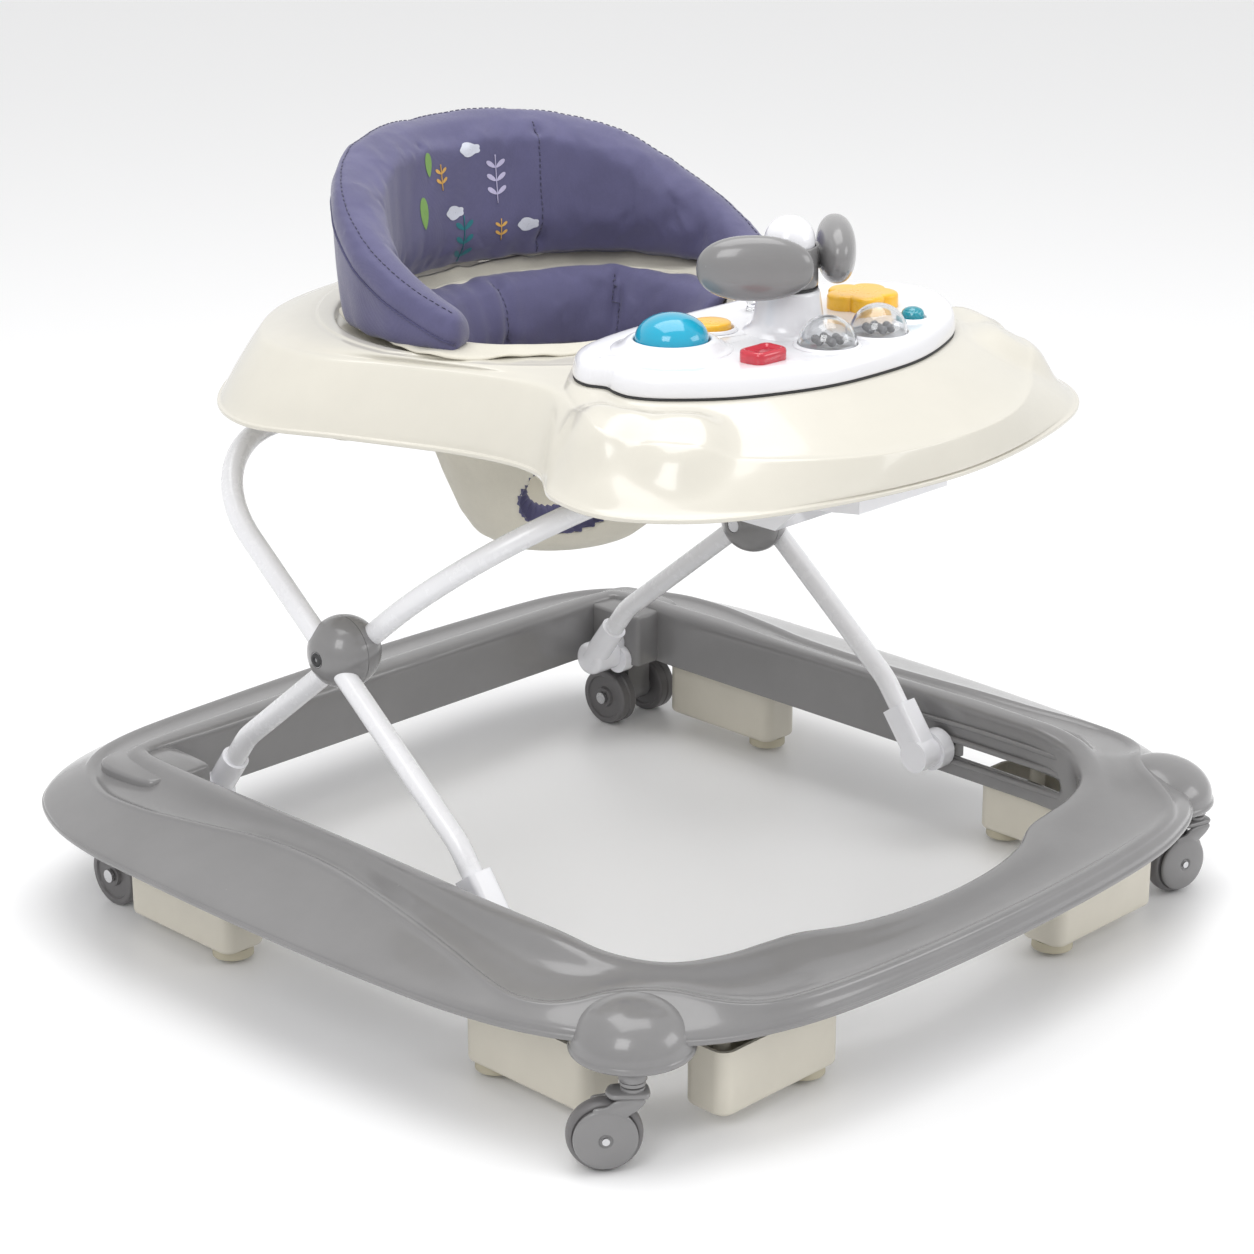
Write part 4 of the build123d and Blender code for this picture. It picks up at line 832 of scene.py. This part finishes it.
# ---------------------------------------------------------------- seat
def seat_point(angle, inset, z):
    """Point of the seat's ellipse at an angle, in from its outer face; the back flares with height."""
    flare = 9 * (z - 447) / 153
    a, b = 170 + flare - inset, 145 + flare - inset
    return np.array([a * math.cos(angle), SEAT_Y + b * math.sin(angle), z])


BACK_LOW = 447.6


def back_top(y):
    """Height of the back's top edge at a distance behind the middle."""
    return float(np.interp(y, [8, 22, 60, 95, 150, 192, 215], [474, 480, 497, 513, 545, 563, 569]))


def back_section(angle):
    """Loop of the padded back at one angle: outer wall, border, inner face."""
    y = SEAT_Y + 148 * math.sin(angle)
    top = back_top(y)
    high = top - BACK_LOW
    loop = [
        (1, 0), (0, 0.10 * high), (-0.5, 0.4 * high), (-0.5, high - 30), (0.4, high - 25.5), (-0.8, high - 21),
        (-1.0, high - 12), (1.2, high - 3.5), (5, high - 0.4), (11, high), (19, high - 1.5), (25.5, high - 6),
        (28.5, high - 14), (29.0, max(high - 26, 0.62 * high)), (30.5, 0.5 * high), (31.5, 0.28 * high),
        (29.5, 0.1 * high), (25, 0), (13, -0.2),
    ]
    return [seat_point(angle, inset, BACK_LOW + dz) for inset, dz in loop]


def settle(obj, pressure, cap, voxel=0.005, frames=20):
    """Lets the cloth swell like a stuffed cover, with no point moving further than cap."""
    scene = bpy.context.scene
    applied(obj, "REMESH", mode="VOXEL", voxel_size=voxel)
    start = np.array([v.co[:] for v in obj.data.vertices])
    cloth = obj.modifiers.new("cloth", "CLOTH")
    cloth.settings.quality = 5
    cloth.settings.mass = 0.2
    cloth.settings.tension_stiffness = 12
    cloth.settings.compression_stiffness = 12
    cloth.settings.shear_stiffness = 6
    cloth.settings.bending_stiffness = 0.4
    cloth.settings.use_pressure = True
    cloth.settings.uniform_pressure_force = pressure
    cloth.settings.effector_weights.gravity = 0
    cloth.point_cache.frame_start = 1
    cloth.point_cache.frame_end = frames
    for number in range(1, frames + 1):
        scene.frame_set(number)
    swollen = obj.evaluated_get(bpy.context.evaluated_depsgraph_get()).to_mesh()
    end = np.array([v.co[:] for v in swollen.vertices])
    obj.modifiers.remove(cloth)
    scene.frame_set(1)
    move = end - start
    size = np.linalg.norm(move, axis=1)
    move *= (np.minimum(size, cap) / np.maximum(size, 1e-9))[:, None]
    for vertex, co in zip(obj.data.vertices, start + move):
        vertex.co = co
    obj.data.update()
    obj.data.polygons.foreach_set("use_smooth", [True] * len(obj.data.polygons))
    return obj


def refined(obj):
    """Subdivides once, so that later dents have points to move."""
    applied(obj, "SUBSURF", levels=1, render_levels=1)


def positions(obj):
    """Places of the vertices, in millimetres."""
    co = np.zeros(len(obj.data.vertices) * 3)
    obj.data.vertices.foreach_get("co", co)
    return co.reshape(-1, 3) / MM


def normals(obj):
    """Directions that the vertices face."""
    out = np.zeros(len(obj.data.vertices) * 3)
    obj.data.vertices.foreach_get("normal", out)
    return out.reshape(-1, 3)


def moved(obj, where):
    """Puts the vertices at these places, in millimetres."""
    obj.data.vertices.foreach_set("co", (np.asarray(where) * MM).ravel())
    obj.data.update()


def dents(obj, lines, width, depth, puff=0.0):
    """Sinks a groove along each line into the surface, with the cloth standing up a little beside it."""
    where, out = positions(obj), normals(obj)
    near = np.full(len(where), 1e9)
    for line in lines:
        pts = spaced(line, max(int(len(line) * 3), 60), closed=False)
        for start in range(0, len(where), 4000):
            block = where[start:start + 4000]
            gap = np.linalg.norm(block[:, None] - pts[None], axis=2).min(1)
            near[start:start + 4000] = np.minimum(near[start:start + 4000], gap)
    sink = depth * np.exp(-(near / width) ** 2) - puff * np.exp(-((near - 3 * width) / (1.6 * width)) ** 2)
    moved(obj, where - out * sink[:, None])


def wrinkles(obj, amount, rule):
    """Soft folds: height of rule(x, y, z) along the normal."""
    where, out = positions(obj), normals(obj)
    moved(obj, where + out * (amount * rule(*where.T))[:, None])


ARM_ANGLE = math.asin((16 - SEAT_Y) / 146)
ANGLES = np.linspace(ARM_ANGLE, math.pi - ARM_ANGLE, 120)


def back_rows():
    """Sections of the back from arm end to arm end, with rounded ends."""
    rows = [back_section(a) for a in ANGLES]
    ends = []
    for row in (rows[0], rows[-1]):
        middle = np.mean(row, axis=0)
        shifted = []
        for share, step in ((0.92, 3.5), (0.7, 6.5), (0.3, 8.2)):
            ring = middle + (np.array(row) - middle) * share
            ring[:, 1] -= step
            shifted.append(ring)
        ends.append(shifted)
    return list(reversed(ends[0])) + rows + ends[1]


back = piece("seat_back_cover", *skin(back_rows(), around=True, caps=True), INDIGO, "tray", "indigo_fabric")
settle(back, 4.0, 0.006)
refined(back)


def along_back(inset, drop, angles=ANGLES):
    """Line along the back at an inset from its outer face, below its top edge by drop."""
    return np.array([seat_point(a, inset, back_top(SEAT_Y + 148 * math.sin(a)) - drop) for a in angles])


def inner_line(angle, low, high_drop, count=40):
    """Upright line on the inner face of the back."""
    top = back_top(SEAT_Y + 148 * math.sin(angle)) - high_drop
    return np.array([seat_point(angle, 30.5, z) for z in np.linspace(low, top, count)])


PIPING = along_back(-0.4, 24)
STITCH = along_back(4, 0.5)
MIDDLE_SEAM = math.radians(60)
SEAMS = [inner_line(MIDDLE_SEAM, 450, 2), inner_line(math.radians(104), 450, 2)]
dents(back, [PIPING], 2.2, 1.8, 0.4)
dents(back, [STITCH], 2.0, 1.2, 0.3)
dents(back, SEAMS[:1], 3.0, 3.2, 0.9)
dents(back, SEAMS[1:], 2.2, 1.4, 0.3)


def back_folds(x, y, z):
    """Pulls at the bottom of the back and broad soft folds above them."""
    turn = np.arctan2(y - SEAT_Y, x)
    low = 1 - smooth(455, 500, z)
    pulled = np.sin(turn * 21 + z * 0.05) * np.sin(turn * 8 + 1.3) * low
    broad = np.sin(turn * 6 + 0.02 * z + 0.8) * np.sin(z * 0.045 + 2 * turn)
    near_top = np.exp(-((z - 520) / 30) ** 2) * np.sin(turn * 34 + 0.08 * z) * 0.25
    return pulled + 0.7 * broad + near_top


wrinkles(back, 0.9, back_folds)
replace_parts(back, "seat_back")


# lower lining, padded, with sewn channels
PAD_LEVELS = ((389, 116, 91), (404, 119, 95), (422, 124, 100), (438, 129.5, 106), (446, 137, 114))


def pad_section(angle):
    """Loop of the lower lining at one angle."""
    outer = [(z, a, b) for z, a, b in PAD_LEVELS]
    loop = [(a * math.cos(angle), SEAT_Y + b * math.sin(angle), z) for z, a, b in outer]
    for (z, a, b), inset in zip(reversed(outer), (9, 15, 17.5, 17, 12)):
        loop.append(((a - inset) * math.cos(angle), SEAT_Y + (b - inset) * math.sin(angle), z))
    return loop


PAD_ANGLE = math.asin((16 - SEAT_Y) / 104)
PAD_ANGLES = np.linspace(PAD_ANGLE, math.pi - PAD_ANGLE, 96)
lining = piece("seat_pad_cover", *skin([pad_section(a) for a in PAD_ANGLES], around=True, caps=True), INDIGO,
               "tray", "indigo_fabric")
settle(lining, 4.0, 0.004)
refined(lining)


def pad_line(angle, grow=0):
    """Upright line on the inner face of the lining."""
    levels = np.array(PAD_LEVELS)
    z = np.linspace(392, 444, 36)
    a = np.interp(z, levels[:, 0], levels[:, 1]) - 17 + grow
    b = np.interp(z, levels[:, 0], levels[:, 2]) - 17 + grow
    return np.column_stack([a * math.cos(angle), SEAT_Y + b * math.sin(angle), z])


PAD_SEAMS = [pad_line(math.radians(d)) for d in (82, 30, 150)]
dents(lining, PAD_SEAMS, 3.2, 3.4, 1.0)


def pad_folds(x, y, z):
    """Gathers of the lining between its seams."""
    turn = np.arctan2(y - SEAT_Y, x)
    return np.sin(turn * 26 + z * 0.03) * (0.4 + 0.6 * np.sin(turn * 5)) + 0.8 * np.sin(turn * 9 + z * 0.09)


wrinkles(lining, 0.8, pad_folds)
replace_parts(lining, "seat_pad")


def surface(obj):
    """Tree for finding points on a mesh."""
    mesh = obj.data
    return BVHTree.FromPolygons([v.co for v in mesh.vertices], [p.vertices for p in mesh.polygons])


def dashes(tree, line, length, gap, radius, lift=0.25):
    """Stitches laid on a surface along a line."""
    line = np.asarray(line, float)
    steps = np.r_[0, np.cumsum(np.linalg.norm(np.diff(line, axis=0), axis=1))]
    lots = []
    for start in np.arange(gap, steps[-1] - length, length + gap):
        path = []
        for s in np.linspace(start, start + length, 4):
            p = np.array([np.interp(s, steps, line[:, k]) for k in range(3)])
            hit, normal, _, _ = tree.find_nearest(Vector(p * MM))
            path.append(np.array(hit) / MM + np.array(normal) * lift)
        lots.append(tube(path, radius, 6))
    return joined(*lots)


back_surface, pad_surface = surface(back), surface(lining)
stitches = joined(dashes(back_surface, STITCH, 3.2, 2.0, 0.42), dashes(back_surface, SEAMS[0] , 2.8, 1.8, 0.42),
                  *[dashes(pad_surface, line, 2.8, 1.8, 0.42) for line in PAD_SEAMS])
piece("seat_stitching", *stitches, THREAD, "tray", "indigo_fabric")


def on_surface(tree, line, radius, lift, sides=8):
    """Tube that follows a line laid on a surface."""
    path = []
    for p in line:
        hit, normal, _, _ = tree.find_nearest(Vector(np.asarray(p) * MM))
        path.append(np.array(hit) / MM + np.array(normal) * lift)
    return tube(path, radius, sides)


piece("seat_piping", *on_surface(back_surface, spaced(PIPING, 240, False), 1.1, 0.3), INDIGO_SIDE, "tray",
      "indigo_fabric")


# ---------------------------------------------------------------- seat print
def on_back(u, v, lift=0.35):
    """Point on the inner face of the back: u is along it in mm from the seam, v is height."""
    angle = MIDDLE_SEAM + u / 125
    start = seat_point(angle, 60, v)
    outward = np.array([math.cos(angle), math.sin(angle), 0])
    hit = back_surface.ray_cast(Vector(start * MM), Vector(outward))[0]
    if hit is None:
        return seat_point(angle, 31, v)
    return np.array(hit) / MM - outward * lift


def print_patch(outline, place, size):
    """Flat printed shape wrapped on the back, as a fan of thin rings."""
    line = spaced(outline, 48)
    rows = []
    for share in (1, 0.66, 0.33, 0.03):
        rows.append([on_back(place[0] + size * share * x, place[1] + size * share * y) for x, y in line])
    return skin(rows, around=True)


def cloud_shape():
    """Outline of the printed cloud, about 1 across each way."""
    return [(math.cos(a) * (1 + 0.16 * abs(math.cos(2.5 * a))),
             0.5 * math.sin(a) * (1 + 0.5 * abs(math.sin(1.5 * a))))
            for a in np.arange(60) / 60 * TAU]


def leaf_shape():
    """Outline of the printed leaf, 2 tall."""
    return [(0.45 * math.sin(a) * abs(math.sin(a / 2)) ** 0.6, -math.cos(a)) for a in np.arange(60) / 60 * TAU]


def sprig(place, size, leaves):
    """Printed stem with pairs of leaves."""
    lots = []
    for k in range(leaves):
        for sign in (-1, 1):
            tilt = sign * math.radians(52)
            c, s = math.cos(tilt), math.sin(tilt)
            shape = [(x * c - (y + 1) * s, x * s + (y + 1) * c) for x, y in leaf_shape()]
            lots.append(print_patch(shape, (place[0], place[1] + k * size * 0.9), size * 0.42))
    stem = [on_back(place[0], place[1] + t, 0.45) for t in np.linspace(-size * 0.6, leaves * size * 0.9, 12)]
    lots.append(tube(stem, 0.4, 6))
    return joined(*lots)


def print_ink(name, colour):
    """Printed cloth in one colour."""
    return fabric(name, colour, thread=0.55, weave=0.35, rough=0.6, mottle=0.14, sheen=0.15)


INKS = {
    "white": print_ink("print_white", (0.62, 0.64, 0.72)),
    "green": print_ink("print_green", (0.20, 0.36, 0.10)),
    "teal": print_ink("print_teal", (0.02, 0.17, 0.20)), "amber": print_ink("print_amber", (0.66, 0.38, 0.10)),
    "lilac": print_ink("print_lilac", (0.50, 0.47, 0.66)),
}
clouds = [print_patch(cloud_shape(), place, 7.5) for place in ((54, 541), (72, 497), (10, 480))]
piece("print_clouds", *joined(*clouds), INKS["white"], "tray", "indigo_fabric")
leaf = [print_patch(leaf_shape(), (104, 502), 12), print_patch(leaf_shape(), (94, 536), 9)]
piece("print_leaves_green", *joined(*leaf), INKS["green"], "tray", "indigo_fabric")
piece("print_sprig_teal", *sprig((64, 461), 12, 3), INKS["teal"], "tray", "indigo_fabric")
piece("print_sprig_lilac", *sprig((34, 505), 11, 3), INKS["lilac"], "tray", "indigo_fabric")
piece("print_sprig_amber", *sprig((32, 474), 7, 2), INKS["amber"], "tray", "indigo_fabric")
piece("print_sprig_sand", *sprig((82, 520), 8, 2), INKS["amber"], "tray", "indigo_fabric")


# ---------------------------------------------------------------- sling and skirt
def sling_reach(z, angle):
    """Point of the sling at a height and an angle, with its soft folds."""
    levels = np.array([(272, 60, 48), (284, 80, 62), (300, 91, 71), (330, 104, 81), (360, 115, 89.5), (400, 126, 101),
                       (440, 136.5, 111.5)])
    a = np.interp(z, levels[:, 0], levels[:, 1])
    b = np.interp(z, levels[:, 0], levels[:, 2])
    fold = 1.6 * np.sin(angle * 17 + z * 0.02) * np.clip((z - 300) / 140, 0, 1)
    return np.array([(a - 1.5 + fold) * math.cos(angle), SEAT_Y + (b - 1.5 + fold) * math.sin(angle), z])


SLING_LOW, SLING_HIGH = 274, 444
LEG_HOLE_X, LEG_HOLE_Z, LEG_HOLE_RADIUS = 50, 330, 37


def sling_cloth():
    """Tub of cloth with two leg holes at the front and a closed bottom."""
    count = 160
    turns = np.arange(count) / count * TAU
    rows = [[sling_reach(z, a) for a in turns] for z in np.linspace(SLING_LOW, SLING_HIGH, 56)]
    for share in (0.75, 0.5, 0.25, 0.02):
        middle = np.array([0, SEAT_Y, SLING_LOW - 2])
        rows.insert(0, [middle + (sling_reach(SLING_LOW, a) - middle) * share for a in turns])
    verts, faces = skin(rows, around=True)
    kept = []
    for face in faces:
        centre = verts[list(face)].mean(0)
        off_hole = math.hypot(abs(centre[0]) - LEG_HOLE_X, centre[2] - LEG_HOLE_Z)
        if centre[1] >= SEAT_Y - 8 or off_hole >= LEG_HOLE_RADIUS:
            kept.append(face)
    return verts, kept


bag = thickened(piece("seat_sling_cloth", *sling_cloth(), CREAM, "tray", "cream_fabric"))
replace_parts(bag, "seat_sling")


def leg_hole_trim():
    """Indigo elastic cuff, gathered, inside each leg hole."""
    lots = []
    for sign in SIDES.values():
        rows = []
        for depth, grow in ((0, 1.0), (4, 1.03), (9, 0.98), (15, 0.86), (22, 0.70), (27, 0.55)):
            ring = []
            for k, a in enumerate(np.arange(120) / 120 * TAU):
                x = sign * LEG_HOLE_X + LEG_HOLE_RADIUS * grow * math.cos(a)
                z = min(max(LEG_HOLE_Z + LEG_HOLE_RADIUS * grow * math.sin(a), 284), 372)
                reach = sling_reach(z, -math.pi / 2)
                b = abs(reach[1] - SEAT_Y)
                half = np.interp(z, (272, 284, 300, 330, 360, 400), (60, 80, 91, 104, 115, 126))
                y = SEAT_Y - b * math.sqrt(max(1 - (x / half) ** 2, 0.02))
                gather = 0.8 * math.sin(k * 1.6) * (depth > 0)
                ring.append((x, y + depth + 1.2 + gather, z + 0.9 * math.cos(k * 1.5)))
            rows.append(ring)
        lots.append(skin(rows, around=True))
    return joined(*lots)


cuffs = thickened(piece("leg_hole_cuffs", *leg_hole_trim(), INDIGO, "tray", "indigo_fabric"))


# outer edge of the hem, right half, from the front middle round to the back
HEM_EDGE = [(0, -55), (60, -52), (108, -44), (130, -28), (155, -12), (174, 10), (178, 40), (168, 80), (160, 118),
            (140, 160), (100, 186), (50, 196), (0, 198)]


def skirt():
    """Hem of the sling where it lies over the edge of the seat opening, with a few soft ripples."""
    count = 360
    angles = np.arange(count) / count * TAU
    hole = radii([(137 * math.cos(t), SEAT_Y + 112 * math.sin(t)) for t in angles], (0, SEAT_Y), angles)[:, 0]
    edge = radii(curve(mirrored(HEM_EDGE)), (0, SEAT_Y), angles)[:, 0]
    behind = smooth(-0.15, 0.3, np.sin(angles))
    ripple = 0.8 * np.sin(angles * 17 + 0.6) + 0.5 * np.sin(angles * 29 + 2) + 0.3 * np.sin(angles * 43)
    rows = []
    levels = ((0, 437), (0.02, 444), (0.12, 448.6), (0.3, 449.8), (0.55, 449.4), (0.8, 449.0), (1, 449.6))
    for share, z in levels:
        out = hole + (edge - hole) * share
        height = z - 6.6 * behind * (share >= 0.12) * (share < 0.75) + ripple * share
        rows.append(np.column_stack([out * np.cos(angles), SEAT_Y + out * np.sin(angles), height]))
    return skin(rows, around=True)


hem = thickened(piece("sling_hem", *skirt(), CREAM, "tray", "cream_fabric"))


# ---------------------------------------------------------------- wheels, hubs and screws
def screw_head(radius, depth):
    """Pan head with a round dip where the cross recess sits, about the X axis and facing +X."""
    profile = [(radius, 0), (radius, depth * 0.5), (radius * 0.8, depth), (radius * 0.35, depth),
               (radius * 0.3, depth * 0.3), (0, depth * 0.2)]
    return turned(profile, 24, axis="X")


def hub_details():
    """Bolt head on each hub."""
    lots = []
    for word, sign in SIDES.items():
        low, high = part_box(f"hub_outer_cover_{word}")
        face = (high.x if sign > 0 else low.x) / MM
        centre = (Vector(low) + Vector(high)) / 2 / MM
        verts, faces = screw_head(5.2, 1.6)
        verts = verts * (sign, 1, 1) + (face - sign * 0.4, centre.y, centre.z)
        lots.append((verts, faces))
    return joined(*lots)


piece("hub_screw_heads", *hub_details(), DARK, "outer_leg", "dark_plastic")


CASTER_SWIVEL = {"left": 168.0, "right": 140.0}
CASTER_TRAIL, CASTER_Z, COVER_BACK, COVER_FACE = 18.0, 25.0, 7.6, 12.2


def caster_hood():
    """Fork in its own frame, trail along +X: collar, crown, an arm to a domed cover on each side."""
    lots = [turned(softened([(4.2, 55), (7.6, 55), (8, 55.6), (8, 57.4), (7.6, 58), (4.2, 58)], 1, False), 40)]
    crown = [(-8, -9), (10, -9), (15, -7), (17.5, 0), (15, 7), (10, 9), (-8, 9), (-11, 0)]
    lots.append(plate(spaced(curve(crown), 48), 51.4, 55.4, 1.6))
    for sign in SIDES.values():
        arm = [(-6.5, 52), (10, 52), (17, 48), (26, 46), (22, 38), (18, 31), (10, 36), (2, 42), (-5, 47)]
        arm = spaced(curve(arm), 64)
        verts, faces = plate(arm, COVER_BACK, COVER_FACE - 1.6, 1.4)
        lots.append((verts[:, [0, 2, 1]] * (1, sign, 1), faces))
        cover = [(0, COVER_BACK), (20.4, COVER_BACK), (21, 8.2), (21, 9.4), (20.2, 10.4), (17, 11.2),
                 (10, 12.0), (5.4, COVER_FACE),
                 (4.6, COVER_FACE - 0.2), (4.2, COVER_FACE - 1.2), (0, COVER_FACE - 1.2)]
        verts, faces = turned(softened(cover, 1, False), 64)
        lots.append((verts[:, [0, 2, 1]] * (1, sign, 1) + (CASTER_TRAIL, 0, CASTER_Z), faces))
    return joined(*lots)


def caster_axle_ends():
    """Chrome ends of the axle, domed, in the covers' recesses."""
    lots = []
    for sign in SIDES.values():
        verts, faces = turned([(0, 9), (2.4, 9), (2.4, 11.4), (1.8, 12), (0, 12.2)], 32)
        lots.append((verts[:, [0, 2, 1]] * (1, sign, 1) + (CASTER_TRAIL, 0, CASTER_Z), faces))
    return joined(*lots)


def caster_tyre():
    """Narrow tyre with a rounded rim, a shallow groove round each face, and a hub."""
    profile = [(2.6, -6.4), (8, -6.4), (19.5, -6.4), (20.2, -5.9), (21, -5.9), (21.6, -6.4), (23.4, -5.6),
               (24.6, -3.4), (25, 0), (24.6, 3.4), (23.4, 5.6), (21.6, 6.4), (21, 5.9), (20.2, 5.9), (19.5, 6.4),
               (8, 6.4), (2.6, 6.4)]
    verts, faces = turned(softened(profile, 1, False), 72)
    return verts[:, [0, 2, 1]] + (CASTER_TRAIL, 0, CASTER_Z), faces


for word, sign in SIDES.items():
    turn = math.radians(CASTER_SWIVEL[word])
    swing = np.array([[math.cos(turn), math.sin(turn), 0], [-math.sin(turn), math.cos(turn), 0], [0, 0, 1]])
    stem = (sign * STEM_AT[0], STEM_AT[1], 0)

    def swung(made):
        return made[0] @ swing + stem, made[1]

    hood = piece(f"caster_hood_{word}", *swung(caster_hood()), GREY, f"caster_{word}", "grey_plastic")
    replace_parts(hood, f"caster_fork_{word}")
    piece(f"caster_axle_ends_{word}", *swung(caster_axle_ends()), STEEL, f"caster_{word}", "steel")
    tyre = piece(f"caster_tyre_{word}", *swung(caster_tyre()), GREY_DARK, f"caster_wheel_{word}", "wheel_grey")
    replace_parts(tyre, f"caster_wheel_{word}")


# ---------------------------------------------------------------- floor, lights and camera
def stage():
    """Plain pale floor."""
    size = 6000
    verts = [(-size, -size, 0), (size, -size, 0), (size, size, 0), (-size, size, 0)]
    mesh = bpy.data.meshes.new("floor")
    mesh.from_pydata([tuple(c * MM for c in v) for v in verts], [], [(0, 1, 2, 3)])
    mat, _, shader, _ = material("floor_white")
    shader.inputs["Base Color"].default_value = (0.93, 0.93, 0.935, 1)
    shader.inputs["Roughness"].default_value = 0.35
    shader.inputs["Specular IOR Level"].default_value = 0.3
    mesh.materials.append(mat)
    floor = bpy.data.objects.new("floor", mesh)
    bpy.context.scene.collection.objects.link(floor)


def area_light(name, place, target, size, power):
    """Softbox at a place, in metres, that faces a target."""
    data = bpy.data.lights.new(name, "AREA")
    data.shape = "RECTANGLE"
    data.size, data.size_y = size
    data.energy = power
    obj = bpy.data.objects.new(name, data)
    obj.location = place
    obj.rotation_euler = (Vector(target) - Vector(place)).to_track_quat("-Z", "Y").to_euler()
    bpy.context.scene.collection.objects.link(obj)


stage()
world = bpy.data.worlds.new("studio")
world.use_nodes = True
world.node_tree.nodes["Background"].inputs["Color"].default_value = (1, 1, 1, 1)
world.node_tree.nodes["Background"].inputs["Strength"].default_value = 0.85
bpy.context.scene.world = world
area_light("top", (0.1, 0.2, 2.4), (0, 0, 0.2), (1.8, 1.8), 26)
area_light("key", (-1.9, -0.9, 1.9), (0, 0, 0.3), (1.0, 1.2), 16)
area_light("fill", (1.4, -2.2, 1.3), (0, 0, 0.3), (1.4, 1.0), 12)

scene = bpy.context.scene
scene.view_settings.view_transform = "Standard"
scene.view_settings.look = "None"

camera_data = bpy.data.cameras.new("camera")
camera_data.lens = 91.35
camera_data.sensor_width = 36
camera_data.clip_end = 50
camera = bpy.data.objects.new("camera", camera_data)
camera.location = (-1.586, -1.547, 1.004)
camera.rotation_euler = (Vector((0, 0.008, 0.2104)) - camera.location).to_track_quat("-Z", "Y").to_euler()
scene.collection.objects.link(camera)
scene.camera = camera
